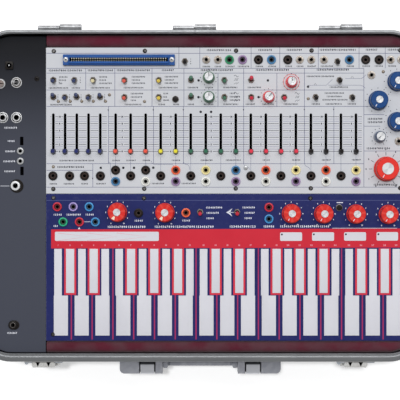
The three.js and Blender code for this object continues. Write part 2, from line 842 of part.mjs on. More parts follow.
// A row of levers joined by a bar under the panel, about the first lever's pivot
function toggleRowSolid(places, up, { reach, drop }) {
  const towards = up ? -1 : 1;
  const [firstX] = places[0];
  const lastX = places[places.length - 1][0];
  const half = linkWidth / 2;
  const pieces = places.flatMap(([x]) => {
    const offset = x - firstX;
    const lever = toggleLever(towards * toggleTiltDegrees, 0);
    lever.translate(offset, 0, 0);
    const armEnd = towards * reach;
    const stub = box([offset - half, -half, -drop - half], [offset + half, half, 0]);
    const arm = box(
      [offset - half, Math.min(-half, armEnd), -drop - half],
      [offset + half, Math.max(half, armEnd), -drop + half],
    );
    return [solidOf(lever), stub, arm];
  });
  const barY = towards * reach;
  const linkBar = box(
    [-half, barY - half, -drop - half],
    [lastX - firstX + half, barY + half, -drop + half],
  );
  return joinAll([...pieces, linkBar]);
}

const pivotLevel = panelTop - panelThickness / 2;

function addToggles() {
  for (const { name, places, up, link } of toggleRows) {
    const [x, y] = places[0];
    add(name, toggleRowSolid(places, up, link), 'blue', x, y, pivotLevel);
  }
  const [x, y] = keyboardTogglePlaces[0];
  add('toggles_keyboard', toggleRowSolid(keyboardTogglePlaces, false, lowLink), 'red', x, y, pivotLevel);
  const [switchX, switchY] = placeOn(sidePanel, powerSwitchShares);
  const powerLever = solidOf(toggleLever(0, -toggleTiltDegrees));
  add('power_switch_lever', powerLever, 'silver', switchX, switchY, pivotLevel);
}

// A push button with its stem, about its own place on the panel
function buttonSolid() {
  const cap = post([0, 0], buttonRadius, buttonLift, buttonLift + buttonHeight);
  const stem = post([0, 0], buttonStemRadius, -buttonStemLength, buttonLift + buttonHeight / 2);
  return cap.add(stem);
}

// Blue circuit board panel with raised touch plates, pots and sockets soldered under it
function touchPlates() {
  const left = keyboardPanel.left + keyFieldMargin;
  const keyPitch = (mainPanelLength - 2 * keyFieldMargin) / naturalCount;
  const [front, back, wideBack, sharpFront] = [
    keyFrontShare,
    keyBackShare,
    naturalWideShare,
    sharpFrontShare,
  ].map((share) => placeOn(keyboardPanel, [0, share])[1]);
  const low = panelTop - panelThickness / 2;
  const high = panelTop + keyLift;
  const octave = octavePitches * keyPitch;
  const plates = [];
  let natural = 0;
  for (let key = 0; key < keyCount; key += 1) {
    const inOctave = key % keyCentreShares.length;
    const octaveLeft = left + Math.floor(key / keyCentreShares.length) * octave;
    const centre = octaveLeft + keyCentreShares[inOctave] * octave;
    if (sharpKeys.includes(inOctave)) {
      plates.push(box([centre - sharpWidth / 2, sharpFront, low], [centre + sharpWidth / 2, back, high]));
    } else {
      const keyLeft = left + natural * keyPitch + keyGap / 2;
      const keyRight = keyLeft + keyPitch - keyGap;
      const neckLeft = centre - keyNeckWidth / 2;
      const neckRight = centre + keyNeckWidth / 2;
      plates.push(raised(
        [
          [keyLeft, front],
          [keyRight, front],
          [keyRight, wideBack],
          [neckRight, wideBack],
          [neckRight, back],
          [neckLeft, back],
          [neckLeft, wideBack],
          [keyLeft, wideBack],
        ],
        low,
        high,
      ));
      natural += 1;
    }
  }
  return plates;
}

function keyboardPanelBoard() {
  const plate = box(
    [keyboardPanel.left, keyboardPanel.front, panelUnder],
    [keyboardPanel.right, keyboardPanel.back, panelTop],
  );
  const high = panelTop + cutOverrun;
  const knobPlaces = keyboardKnobShares.map((shares) => placeOn(keyboardPanel, shares));
  const jackPlaces = keyboardJackShares.map((shares) => placeOn(keyboardPanel, shares));
  const buttonPlace = placeOn(keyboardPanel, keyboardButtonShares);
  const joined = panelTop - panelThickness / 2;
  const potBottom = panelUnder - potDrop - keyboardPotFloor;
  const pots = knobPlaces.map((place) => block(place, potWidth, potWidth, potBottom, joined));
  const shafts = knobPlaces.map((place) => (
    post(place, shaftRadius + shaftHoleGap, panelUnder - potDrop, high)
  ));
  const socketTop = panelTop + socketCollar;
  const sockets = jackPlaces.map((place) => (
    post(place, bananaRadius, socketTop - socketDepth - socketFloor, socketTop)
  ));
  const bores = jackPlaces.map((place) => (
    post(place, bananaBore, socketTop - socketDepth, socketTop + cutOverrun, boreSides)
  ));
  const stemWell = panelTop - buttonStemLength - buttonLift;
  const housing = block(buttonPlace, buttonRadius * 2, buttonRadius * 2, stemWell - socketFloor, joined);
  const stemHole = post(buttonPlace, buttonStemRadius + shaftHoleGap, stemWell, high);
  return cutAll(
    joinAll([plate, ...touchPlates(), ...pots, ...sockets, housing]),
    [...shafts, ...bores, stemHole, ...toggleHoles(keyboardTogglePlaces)],
  );
}

// Side panel with the sockets that are nutted to it
function sidePanelPlate() {
  const plate = leftRoundedSlab(sidePanel, sideRadius, panelUnder, panelTop);
  const at = (shares) => placeOn(sidePanel, shares);
  const collarTop = panelTop + socketCollar;
  const high = collarTop + cutOverrun;
  const joined = [plate];
  const cut = [];
  const socket = (place, radius, bore, depth) => {
    joined.push(post(place, radius, collarTop - depth - socketFloor, collarTop));
    cut.push(post(place, bore, collarTop - depth, high));
  };
  phoneJackShares.forEach((shares) => socket(at(shares), phoneRadius, phoneBore, phoneDepth));
  dataJackShares.forEach((shares) => socket(at(shares), dataJackRadius, miniBore, socketDepth));
  socket(at(groundJackShares), bananaRadius, bananaBore, socketDepth);
  const inlet = at(inletShares);
  joined.push(block(inlet, inletWidth, inletWidth, collarTop - socketDepth - socketFloor, collarTop));
  cut.push(post(inlet, inletBore, collarTop - socketDepth, high));
  joined.push(post(at(fuseShares), fuseRadius, panelUnder - socketDepth, collarTop));
  joined.push(post(at(powerSwitchShares), phoneRadius, panelUnder, collarTop));
  cut.push(post(at(powerSwitchShares), toggleHole, panelUnder - cutOverrun, high, toggleSides));
  for (const shares of portShares) {
    const place = at(shares);
    joined.push(block(
      place,
      portWidth + 2 * chassisWall,
      portLength + 2 * chassisWall,
      panelUnder - socketDepth - socketFloor,
      panelTop - panelThickness / 2,
    ));
    cut.push(block(place, portWidth, portLength, panelUnder - socketDepth, high));
  }
  const pin = post(inlet, inletPinRadius, collarTop - socketDepth - socketFloor / 2, panelTop, boreSides);
  return cutAll(joinAll(joined), cut).add(pin);
}

// Long connector for a plug-in card, standing on the main panel
function cardConnector() {
  const left = mainPanel.left + cardInset;
  const right = toggleRows[0].places[0][0] - cardToggleGap;
  const place = [(left + right) / 2, placeOn(mainPanel, [0, cardRowShare])[1]];
  const cardSlotLength = right - left - 2 * cardSlotWall;
  const top = panelTop + cardHeight;
  return block(place, right - left, cardWidth, panelTop, top)
    .subtract(block(place, cardSlotLength, cardSlotWidth, top - cardSlotDepth, top + cutOverrun));
}

// Handle: two brackets on one wall plate, and a grip that folds between them
const wallFace = shellFront - seatGap;
const handlePivotHeight = caseHeight - handlePivotDrop;
const handlePivotY = wallFace - handlePivotReach;

function handleBase() {
  const reachY = wallFace - handleReach;
  const low = handlePivotHeight - bracketHeight / 2;
  const high = handlePivotHeight + bracketHeight / 2;
  const plate = box(
    [-bracketGap / 2 - bracketWidth, wallFace - handlePlate, low],
    [bracketGap / 2 + bracketWidth, wallFace, high],
  );
  const pieces = [plate];
  const holes = [];
  for (const side of [-1, 1]) {
    const inner = (side * bracketGap) / 2;
    const outer = inner + side * bracketWidth;
    const outline = [
      [inner, wallFace],
      [inner, reachY],
      [outer - side * bracketChamfer, reachY],
      [outer, reachY + bracketChamfer],
      [outer, wallFace],
    ];
    pieces.push(raised(side > 0 ? outline : outline.slice().reverse(), low, high));
    const holeEnd = inner + side * (handlePinLength + runningGap);
    holes.push(bar(
      Math.min(inner - side * cutOverrun, holeEnd),
      Math.max(inner - side * cutOverrun, holeEnd),
      handlePivotY,
      handlePivotHeight,
      handlePinRadius + shaftHoleGap,
    ));
  }
  return cutAll(joinAll(pieces), holes);
}

function handleGrip() {
  const half = bracketGap / 2 - runningGap;
  const thick = gripThickness / 2;
  const gripPlan = { left: -half, right: half, front: -gripDrop - gripWidth / 2, back: gripWidth / 2 };
  const geometry = new THREE.ExtrudeGeometry(roundedOutline(gripPlan, gripRound), {
    depth: gripThickness,
    curveSegments: edgeSteps,
    bevelEnabled: false,
  });
  geometry.rotateX(Math.PI / 2);
  geometry.translate(0, thick, 0);
  const frame = solidOf(geometry);
  const opening = box(
    [-half + gripArmWidth, -thick - cutOverrun, -gripDrop + gripWidth / 2],
    [half - gripArmWidth, thick + cutOverrun, gripWidth + cutOverrun],
  );
  const pins = [-1, 1].map((side) => {
    const root = side * (half - gripArmWidth / 2);
    const end = side * (bracketGap / 2 + handlePinLength);
    return bar(Math.min(root, end), Math.max(root, end), 0, 0, handlePinRadius);
  });
  return frame.subtract(opening).add(joinAll(pins));
}

// Latches: a plate with two ears on the front wall, and a lever that turns in the ears
const latchTop = lipBottom - latchTopDrop;
const latchPivotHeight = latchTop - latchPlateHeight + latchLeverThickness;
const latchPivotY = wallFace - latchPlateThickness - seatGap - latchLeverThickness / 2;

function latchBase(x) {
  const plate = box(
    [x - latchPlateWidth / 2, wallFace - latchPlateThickness, latchTop - latchPlateHeight],
    [x + latchPlateWidth / 2, wallFace, latchTop],
  );
  const pieces = [plate];
  const holes = [];
  for (const side of [-1, 1]) {
    const inner = x + side * (latchLeverWidth / 2 + runningGap);
    const outer = inner + side * latchEarWidth;
    const [earLeft, earRight] = [Math.min(inner, outer), Math.max(inner, outer)];
    pieces.push(box(
      [earLeft, latchPivotY - latchLeverThickness / 2, latchPivotHeight - latchLeverThickness],
      [earRight, wallFace, latchPivotHeight + latchLeverThickness],
    ));
    holes.push(bar(
      earLeft - cutOverrun,
      earRight + cutOverrun,
      latchPivotY,
      latchPivotHeight,
      latchPinRadius + shaftHoleGap,
    ));
  }
  return cutAll(joinAll(pieces), holes);
}

function latchLever() {
  const half = latchLeverWidth / 2;
  const thick = latchLeverThickness / 2;
  const blade = box([-half, -thick, 0], [half, thick, latchLeverHeight]);
  const barrel = bar(-half, half, 0, 0, thick, roundSides);
  const pin = bar(-half - latchPinLength, half + latchPinLength, 0, 0, latchPinRadius);
  return joinAll([blade, barrel, pin]);
}

// Lift-off hinge: a leaf on the back wall and a barrel in two halves along its top
function hinge(x) {
  const wall = shellBack + seatGap;
  const top = lipBottom - hingeDrop;
  const half = hingeWidth / 2;
  const leaf = box(
    [x - half, wall, top - hingeLeafHeight],
    [x + half, wall + hingeLeafThickness, top],
  );
  const centreY = wall + hingeBarrelRadius;
  return joinAll([
    leaf,
    bar(x - half, x, centreY - hingeBarrelRadius + hingeSlimBarrelRadius, top, hingeSlimBarrelRadius),
    bar(x, x + half, centreY, top, hingeBarrelRadius),
  ]);
}

add('case_shell', caseShell(), 'caseMetal');
add('case_rim', caseRim(), 'rimMetal');
add('case_padding', caseLiner(), 'padding');
add('chassis_tray', chassisTray(), 'chassis');
add('main_circuit_board', mainBoard(), 'circuit');
add('main_panel', mainPanelPlate(), 'white');
add('card_connector', cardConnector(), 'blue');
add('keyboard_panel', keyboardPanelBoard(), 'blueBoard');
add('side_panel', sidePanelPlate(), 'charcoal');
addSliders();
addKnobs();
addToggles();
add('button_main', buttonSolid(), 'black', ...mainButtonPlace, panelTop);
add('button_keyboard', buttonSolid(), 'black', ...placeOn(keyboardPanel, keyboardButtonShares), panelTop);
add('handle_base', handleBase(), 'grey');
add('handle_grip', handleGrip(), 'grey', 0, handlePivotY, handlePivotHeight);
for (const [i, side] of ['left', 'right'].entries()) {
  const x = latchPlaceShares[i] * caseLength;
  add(`latch_base_${side}`, latchBase(x), 'silver');
  add(`latch_lever_${side}`, latchLever(), 'silver', x, latchPivotY, latchPivotHeight);
}
for (const [i, side] of ['left', 'middle', 'right'].entries()) {
  add(`hinge_${side}`, hinge(hingePlaceShares[i] * caseLength), 'silver');
}

// The handle reaches further forward than the hinges reach back
const frontReach = wallFace - handleReach;
const backReach = shellBack + seatGap + 2 * hingeBarrelRadius;
model.position.y = -(frontReach + backReach) / 2;

export default model;
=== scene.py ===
import math

import bmesh
import bpy
from mathutils import Matrix, Vector


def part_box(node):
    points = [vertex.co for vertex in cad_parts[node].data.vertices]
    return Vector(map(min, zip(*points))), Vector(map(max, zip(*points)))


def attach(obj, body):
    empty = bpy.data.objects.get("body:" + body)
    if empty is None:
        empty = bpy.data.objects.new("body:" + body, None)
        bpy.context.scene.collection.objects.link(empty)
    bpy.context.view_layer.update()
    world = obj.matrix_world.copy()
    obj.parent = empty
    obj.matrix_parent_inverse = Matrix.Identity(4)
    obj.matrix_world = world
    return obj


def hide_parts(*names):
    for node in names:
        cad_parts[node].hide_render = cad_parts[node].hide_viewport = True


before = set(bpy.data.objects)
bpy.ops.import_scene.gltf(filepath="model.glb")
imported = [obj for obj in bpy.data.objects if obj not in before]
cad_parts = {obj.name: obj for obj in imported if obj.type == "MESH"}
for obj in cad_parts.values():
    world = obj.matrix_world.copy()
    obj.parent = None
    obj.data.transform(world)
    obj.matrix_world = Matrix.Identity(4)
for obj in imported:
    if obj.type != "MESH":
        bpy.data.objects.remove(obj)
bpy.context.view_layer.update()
mm = 0.001
pixel = 1.22 * mm  # one pixel of the photograph at the panels' level


# Camera, straight above the panels

cameraLook = {"lens": 103.25, "sensor": 36, "x": -0.24, "y": 0.2, "above": 1400}
panelLow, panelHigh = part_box("main_panel")
face = panelHigh.z

cameraData = bpy.data.cameras.new("camera")
cameraData.lens = cameraLook["lens"]
cameraData.sensor_width = cameraLook["sensor"]
cameraData.clip_end = 20
camera = bpy.data.objects.new("camera", cameraData)
camera.location = (cameraLook["x"] * mm, cameraLook["y"] * mm, face + cameraLook["above"] * mm)
bpy.context.scene.collection.objects.link(camera)
bpy.context.scene.camera = camera
print("camera is up")


# Colours and shader node groups

def tint(red, green, blue):
    def channel(value):
        value /= 255
        return value / 12.92 if value <= 0.04045 else ((value + 0.055) / 1.055) ** 2.4
    return (channel(red), channel(green), channel(blue), 1.0)


def addNode(tree, kind, inputs=None, **settings):
    item = tree.nodes.new(kind)
    for key, value in settings.items():
        setattr(item, key, value)
    for key, value in (inputs or {}).items():
        if isinstance(value, bpy.types.NodeSocket):
            tree.links.new(value, item.inputs[key])
        else:
            item.inputs[key].default_value = value
    return item


def startGroup(name, inputs, outputs):
    tree = bpy.data.node_groups.new(name, "ShaderNodeTree")
    for label, value in inputs.items():
        kind = {float: "NodeSocketFloat", tuple: "NodeSocketColor"}[type(value)]
        if type(value) is tuple and len(value) == 3:
            kind = "NodeSocketVector"
        tree.interface.new_socket(label, in_out="INPUT", socket_type=kind).default_value = value
    for label in outputs:
        kind = "NodeSocketColor" if label == "Color" else "NodeSocketFloat"
        tree.interface.new_socket(label, in_out="OUTPUT", socket_type=kind)
    given = tree.nodes.new("NodeGroupInput").outputs
    result = tree.nodes.new("NodeGroupOutput").inputs
    return tree, given, result


def objectPoint(tree):
    return addNode(tree, "ShaderNodeTexCoord").outputs["Object"]


def noiseOf(tree, point, scale, detail=4.0):
    item = addNode(tree, "ShaderNodeTexNoise", {"Vector": point, "Scale": scale, "Detail": detail})
    return item.outputs["Fac"]


def spread(tree, value, low, high, toLow=0.0, toHigh=1.0):
    item = addNode(tree, "ShaderNodeMapRange", {
        "Value": value, "From Min": low, "From Max": high, "To Min": toLow, "To Max": toHigh})
    return item.outputs["Result"]


def maths(tree, operation, first, second=0.0):
    return addNode(tree, "ShaderNodeMath", {0: first, 1: second}, operation=operation).outputs[0]


def multiplied(tree, value, share, output):
    tree.links.new(maths(tree, "MULTIPLY", value, share), output)


def mixColour(tree, amount, first, second):
    item = addNode(tree, "ShaderNodeMix", {0: amount, 6: first, 7: second}, data_type="RGBA")
    return item.outputs[2]


def buildColourDrift():
    tree, given, result = startGroup("colourDrift", {
        "Base": (0.5, 0.5, 0.5, 1.0), "Second": (0.4, 0.4, 0.4, 1.0), "Scale": 20.0, "Amount": 0.5},
        ["Color"])
    wide = noiseOf(tree, objectPoint(tree), given["Scale"])
    mask = spread(tree, wide, 0.36, 0.64)
    amount = maths(tree, "MULTIPLY", mask, given["Amount"])
    tree.links.new(mixColour(tree, amount, given["Base"], given["Second"]), result["Color"])


def buildValueDrift():
    tree, given, result = startGroup("valueDrift", {"Low": 0.3, "High": 0.6, "Scale": 60.0}, ["Value"])
    wide = noiseOf(tree, objectPoint(tree), given["Scale"], 6.0)
    tree.links.new(spread(tree, wide, 0.35, 0.65, given["Low"], given["High"]), result["Value"])


def buildFineGrain():
    tree, given, result = startGroup("fineGrain", {"Scale": 900.0, "Depth": 0.5}, ["Height"])
    small = noiseOf(tree, objectPoint(tree), given["Scale"], 2.0)
    multiplied(tree, small, given["Depth"], result["Height"])


def buildEdgeWear():
    tree, given, result = startGroup("edgeWear", {"Scale": 150.0, "Amount": 0.5}, ["Mask"])
    point = addNode(tree, "ShaderNodeNewGeometry").outputs["Pointiness"]
    edge = spread(tree, point, 0.52, 0.62)
    broken = spread(tree, noiseOf(tree, objectPoint(tree), given["Scale"], 5.0), 0.4, 0.6)
    mask = maths(tree, "MULTIPLY", edge, broken)
    multiplied(tree, mask, given["Amount"], result["Mask"])


def buildScratches():
    tree, given, result = startGroup("scratches", {
        "Stretch": (1.0, 30.0, 1.0), "Scale": 40.0, "Amount": 0.5}, ["Mask"])
    turned = addNode(tree, "ShaderNodeMapping", {
        "Vector": objectPoint(tree), "Rotation": (0.0, 0.0, 0.4), "Scale": given["Stretch"]})
    lines = noiseOf(tree, turned.outputs[0], given["Scale"], 3.0)
    mask = spread(tree, lines, 0.66, 0.7)
    multiplied(tree, mask, given["Amount"], result["Mask"])


def buildDust():
    tree, given, result = startGroup("settledDust", {"Scale": 200.0, "Amount": 0.3}, ["Mask"])
    normal = addNode(tree, "ShaderNodeNewGeometry").outputs["Normal"]
    up = addNode(tree, "ShaderNodeSeparateXYZ", {0: normal}).outputs[2]
    top = spread(tree, up, 0.5, 0.95)
    specks = spread(tree, noiseOf(tree, objectPoint(tree), given["Scale"], 8.0), 0.56, 0.74)
    mask = maths(tree, "MULTIPLY", top, specks)
    multiplied(tree, mask, given["Amount"], result["Mask"])


def buildTurnedRings():
    tree, given, result = startGroup("turnedRings", {"Spacing": 0.0004, "Depth": 0.5}, ["Height"])
    parts = addNode(tree, "ShaderNodeSeparateXYZ", {0: objectPoint(tree)})
    flat = addNode(tree, "ShaderNodeCombineXYZ", {0: parts.outputs[0], 1: parts.outputs[1]})
    reach = addNode(tree, "ShaderNodeVectorMath", {0: flat.outputs[0]}, operation="LENGTH").outputs["Value"]
    wave = maths(tree, "SINE", maths(tree, "DIVIDE", reach, given["Spacing"]))
    multiplied(tree, wave, given["Depth"], result["Height"])


# painted sheen: light and dark sectors round the object's centre, laid as reflection and highlight rays
def buildSectors():
    tree, given, result = startGroup("paintedSheenSectors", {"Count": 3.0, "Amount": 0.5}, ["Mask"])
    parts = addNode(tree, "ShaderNodeSeparateXYZ", {0: objectPoint(tree)})
    angle = maths(tree, "ARCTAN2", parts.outputs[1], parts.outputs[0])
    wave = maths(tree, "SINE", maths(tree, "MULTIPLY", angle, given["Count"]))
    mask = spread(tree, wave, 0.1, 0.9)
    multiplied(tree, mask, given["Amount"], result["Mask"])


def buildBrushed():
    tree, given, result = startGroup("brushedLines", {
        "Stretch": (20.0, 900.0, 900.0), "Depth": 0.5}, ["Height", "Mask"])
    drawn = addNode(tree, "ShaderNodeMapping", {"Vector": objectPoint(tree), "Scale": given["Stretch"]})
    lines = noiseOf(tree, drawn.outputs[0], 1.0, 3.0)
    multiplied(tree, lines, given["Depth"], result["Height"])
    tree.links.new(spread(tree, lines, 0.3, 0.7), result["Mask"])


def buildPile():
    tree, given, result = startGroup("pileFibres", {"Scale": 1400.0, "Depth": 1.0}, ["Height", "Mask"])
    point = objectPoint(tree)
    tufts = addNode(tree, "ShaderNodeTexVoronoi", {"Vector": point, "Scale": given["Scale"]})
    nap = noiseOf(tree, point, 38.0, 5.0)
    mixed = maths(tree, "ADD", maths(tree, "MULTIPLY", tufts.outputs["Distance"], 0.6), nap)
    multiplied(tree, mixed, given["Depth"], result["Height"])
    tree.links.new(spread(tree, nap, 0.4, 0.62), result["Mask"])


# painted shade: a mask that grows along the object's y from Start to End
def buildFade():
    tree, given, result = startGroup("fadeAlong", {"Start": 0.0, "End": 0.2}, ["Mask"])
    along = addNode(tree, "ShaderNodeSeparateXYZ", {0: objectPoint(tree)}).outputs[1]
    item = addNode(tree, "ShaderNodeMapRange", {
        "Value": along, "From Min": given["Start"], "From Max": given["End"]},
        interpolation_type="SMOOTHSTEP")
    tree.links.new(item.outputs["Result"], result["Mask"])


def buildTraces():
    tree, given, result = startGroup("copperTraces", {"Scale": 60.0, "Width": 0.06}, ["Mask"])
    cells = addNode(tree, "ShaderNodeTexVoronoi", {"Vector": objectPoint(tree), "Scale": given["Scale"]},
                    feature="DISTANCE_TO_EDGE")
    mask = maths(tree, "LESS_THAN", cells.outputs["Distance"], given["Width"])
    tree.links.new(mask, result["Mask"])


for build in (buildColourDrift, buildValueDrift, buildFineGrain, buildEdgeWear, buildScratches, buildDust,
              buildTurnedRings, buildSectors, buildBrushed, buildPile, buildFade, buildTraces):
    build()


def useGroup(tree, name, inputs):
    item = addNode(tree, "ShaderNodeGroup", node_tree=bpy.data.node_groups[name])
    for key, value in inputs.items():
        item.inputs[key].default_value = value
    return item.outputs


# layers over the base colour: entry in a finish, then its node group and that group's inputs; the sector
# layer is painted sheen and the gradient along y is painted shade
layers = {"traces": ("copperTraces", "Scale", "Width"), "pile": ("pileFibres", "Scale", "Depth"),
          "sectors": ("paintedSheenSectors", "Count", "Amount"), "rings": ("turnedRings", "Spacing", "Depth"),
          "scratches": ("scratches", "Scale", "Amount"), "wear": ("edgeWear", "Amount"),
          "dust": ("settledDust", "Amount"), "fade": ("fadeAlong", "Start", "End")}
dustTint = (190, 188, 182)


def makeFinish(name, look):
    material = bpy.data.materials.new(name)
    material.use_nodes = True
    tree = material.node_tree
    tree.nodes.clear()
    shader = addNode(tree, "ShaderNodeBsdfPrincipled", {"Specular IOR Level": 0.3, **look.get("sockets", {})})
    addNode(tree, "ShaderNodeOutputMaterial", {"Surface": shader.outputs[0]})
    base = tint(*look["base"])
    second = tint(*look.get("second", [value * 0.86 for value in look["base"]]))
    scale, amount = look.get("drift", (30.0, 0.5))
    colour = useGroup(tree, "colourDrift", {
        "Base": base, "Second": second, "Scale": scale, "Amount": amount})["Color"]
    heights = []
    if "brushed" in look:
        stretch, depth = look["brushed"]
        brushed = useGroup(tree, "brushedLines", {"Stretch": stretch, "Depth": depth})
        colour = mixColour(tree, maths(tree, "MULTIPLY", brushed["Mask"], 0.35), colour, second)
        heights.append(brushed["Height"])
    for key, (group, *labels) in layers.items():
        if key not in look:
            continue
        entry = (look[key], dustTint) if key == "dust" else look[key]
        outputs = useGroup(tree, group, dict(zip(labels, entry)))
        if "Mask" in outputs:
            colour = mixColour(tree, outputs["Mask"], colour, tint(*entry[-1]))
        if "Height" in outputs:
            heights.append(outputs["Height"])
    tree.links.new(colour, shader.inputs["Base Color"])
    low, high = look.get("rough", (0.4, 0.55))
    drift = useGroup(tree, "valueDrift", {"Low": low, "High": high, "Scale": 90.0})
    tree.links.new(drift["Value"], shader.inputs["Roughness"])
    scale, depth = look.get("grain", (1200.0, 0.4))
    total = useGroup(tree, "fineGrain", {"Scale": scale, "Depth": depth})["Height"]
    for height in heights:
        total = maths(tree, "ADD", total, height)
    bump = addNode(tree, "ShaderNodeBump", {
        "Height": total, "Strength": look.get("bump", 0.25), "Distance": look.get("relief", 0.0002)})
    tree.links.new(bump.outputs[0], shader.inputs["Normal"])
    return material


def plastic(base, **more):
    return {"base": base, "rough": (0.28, 0.42), "drift": (45.0, 0.35), "grain": (1500.0, 0.5),
            "wear": (0.35, [min(255, value * 1.25 + 12) for value in base]), "dust": 0.04, **more}


def metal(base, **more):
    return {"base": base, "rough": (0.22, 0.38), "sockets": {"Metallic": 0.55}, "drift": (60.0, 0.4),
            "wear": (0.4, (235, 236, 238)), **more}


def ink(base, second, drift=(90.0, 0.5)):
    return {"base": base, "second": second, "rough": (0.5, 0.6), "drift": drift}


def redCoat(base, second):
    return {"base": base, "second": second, "rough": (0.4, 0.5), "drift": (50.0, 0.6)}


finishes = {
    "whitePaint": {"base": (200, 202, 207), "second": (195, 197, 203), "rough": (0.42, 0.56),
                   "drift": (16.0, 0.5), "grain": (1400.0, 0.6), "scratches": (16.0, 0.04, (196, 198, 210)),
                   "dust": 0.03},
    "printInk": ink((66, 70, 112), (84, 88, 128), (90.0, 0.7)),
    "numberInk": ink((14, 16, 36), (24, 26, 50), (120.0, 0.6)),
    "blackInk": {"base": (30, 30, 40), "rough": (0.45, 0.6)},
    "redInk": {"base": (222, 60, 52), "rough": (0.45, 0.6)},
    "blueBoard": {"base": (26, 34, 94), "second": (20, 28, 86), "rough": (0.34, 0.46), "drift": (24.0, 0.6),
                  "grain": (1700.0, 0.5), "dust": 0.02, "scratches": (18.0, 0.06, (60, 66, 140))},
    "redPaint": {"base": (202, 38, 56), "second": (192, 34, 52), "rough": (0.35, 0.5), "drift": (30.0, 0.5)},
    "lineRed": redCoat((168, 44, 92), (150, 40, 92)),
    "edgeRed": redCoat((214, 52, 70), (196, 46, 70)),
    "platePaint": {"base": (213, 213, 220), "second": (207, 207, 215), "rough": (0.34, 0.5),
                   "drift": (22.0, 0.6), "grain": (1500.0, 0.5), "scratches": (22.0, 0.12, (190, 194, 200)),
                   "dust": 0.1},
    "whiteInk": ink((226, 228, 236), (208, 210, 224)),
    # darker towards the back of the panel: painted shade from the gradient layer
    "charcoalPaint": {"base": (69, 72, 83), "second": (65, 68, 79), "rough": (0.6, 0.61),
                      "drift": (4.0, 0.5), "grain": (1100.0, 0.8), "bump": 0.05, "dust": 0.003,
                      "scratches": (14.0, 0.015, (92, 94, 102)),
                      "sockets": {"Specular IOR Level": 0.15}, "fade": (0.04, 0.2, (20, 21, 25))},
    "caseLacquer": {"base": (150, 152, 156), "second": (132, 134, 140), "rough": (0.32, 0.5),
                    "drift": (9.0, 0.6), "grain": (700.0, 0.8), "scratches": (9.0, 0.35, (190, 191, 194)),
                    "sockets": {"Metallic": 0.75}, "wear": (0.5, (206, 207, 210)), "dust": 0.1},
    "rimAlloy": {"base": (140, 142, 144), "second": (126, 128, 131), "rough": (0.4, 0.52),
                 "drift": (12.0, 0.6), "scratches": (20.0, 0.15, (180, 181, 183)), "grain": (900.0, 0.4),
                 "sockets": {"Metallic": 0.9}, "wear": (0.25, (180, 181, 183))},
    "plush": {"base": (92, 24, 44), "second": (70, 20, 36), "rough": (0.8, 0.95), "drift": (16.0, 0.7),
              "pile": (1500.0, 1.0, (86, 48, 58)), "bump": 0.8, "relief": 0.0006,
              "sockets": {"Sheen Weight": 0.25, "Sheen Roughness": 0.5}},
    "sheetAlloy": metal((178, 182, 188), brushed=((30.0, 900.0, 900.0), 0.5)),
    "greenBoard": {"base": (30, 92, 54), "second": (24, 76, 46), "rough": (0.3, 0.45),
                   "traces": (120.0, 0.05, (44, 118, 70)), "sockets": {"Coat Weight": 0.3}},
    "nickel": metal((206, 206, 206)),
    "warmNickel": metal((208, 200, 190), second=(122, 106, 92), drift=(420.0, 0.8)),
    "bronzeNut": metal((122, 106, 92), second=(62, 50, 43), drift=(380.0, 0.8)),
    "barrelNickel": metal((158, 148, 136), second=(104, 92, 80), drift=(400.0, 0.8)),
    "darkNickel": metal((96, 90, 86), rough=(0.3, 0.5)),
    # the turned metal gets paler and darker sectors round its centre: a painted reflection of spun metal
    "turnedAlloy": metal((228, 229, 231), rings=(0.00006, 1.0), rough=(0.34, 0.46), bump=0.06,
                         sockets={"Metallic": 0.35}, sectors=(2.0, 0.7, (186, 188, 192))),
    "strapSteel": metal((176, 182, 190), second=(156, 162, 170), rough=(0.32, 0.44), bump=0.06),
    "contactSteel": metal((206, 204, 186), rough=(0.3, 0.4), sockets={"Metallic": 0.3}),
    "blackOxide": {"base": (26, 24, 25), "second": (40, 38, 38), "rough": (0.35, 0.5), "drift": (120.0, 0.6),
                   "sockets": {"Metallic": 0.4}, "wear": (0.5, (110, 108, 106))},
    "shadowBlack": {"base": (5, 5, 6), "rough": (0.8, 0.9), "sockets": {"Specular IOR Level": 0.0}},
    "lampLens": {"base": (158, 148, 134), "second": (132, 120, 104), "rough": (0.1, 0.2),
                 "sockets": {"Coat Weight": 0.6}},
    "faintInk": ink((112, 114, 152), (130, 130, 166), (90.0, 0.7)),
    "dimInk": ink((96, 104, 148), (84, 92, 138)),
    "chevronInk": ink((226, 150, 164), (214, 142, 158), (60.0, 0.5)),
    "connectorPlastic": plastic((32, 80, 148), second=(26, 68, 128), drift=(60.0, 0.5)),
    "hingeAlloy": metal((146, 147, 149), second=(126, 127, 130), rough=(0.26, 0.34), bump=0.03,
                        sockets={"Metallic": 0.85}),
    "latchNickel": metal((218, 218, 216), second=(186, 184, 180), drift=(90.0, 0.5),
                         sockets={"Metallic": 0.45}),
    "fuseBronze": metal((136, 118, 110), second=(98, 82, 76), drift=(300.0, 0.7)),
    "plainNickel": metal((190, 192, 194), second=(150, 150, 152), drift=(300.0, 0.6)),
    # darker at the strap's end by the case wall: painted shade from the gradient layer
    "strapGloss": metal((198, 200, 206), rough=(0.3, 0.34), bump=0.01, sockets={"Metallic": 0.6},
                        drift=(20.0, 0.2), wear=(0.02, (235, 236, 238)),
                        fade=(-0.2034, -0.2014, (58, 60, 64))),
    "handleGrey": {"base": (152, 154, 162), "second": (138, 140, 148), "rough": (0.38, 0.52),
                   "drift": (20.0, 0.6), "grain": (1000.0, 0.7), "wear": (0.5, (190, 191, 196)),
                   "scratches": (20.0, 0.25, (178, 180, 186)), "dust": 0.1, "sockets": {"Metallic": 0.3}},
    "blackPlastic": plastic((25, 21, 20), sockets={"Specular IOR Level": 0.2}),
    # lighter rays round the knob's centre: painted highlights along the flutes
    "rayedPlastic": plastic((208, 42, 36), second=(196, 38, 32), sectors=(7.0, 0.35, (232, 98, 84))),
    "redPlastic": plastic((222, 50, 42), second=(208, 44, 38)),
}
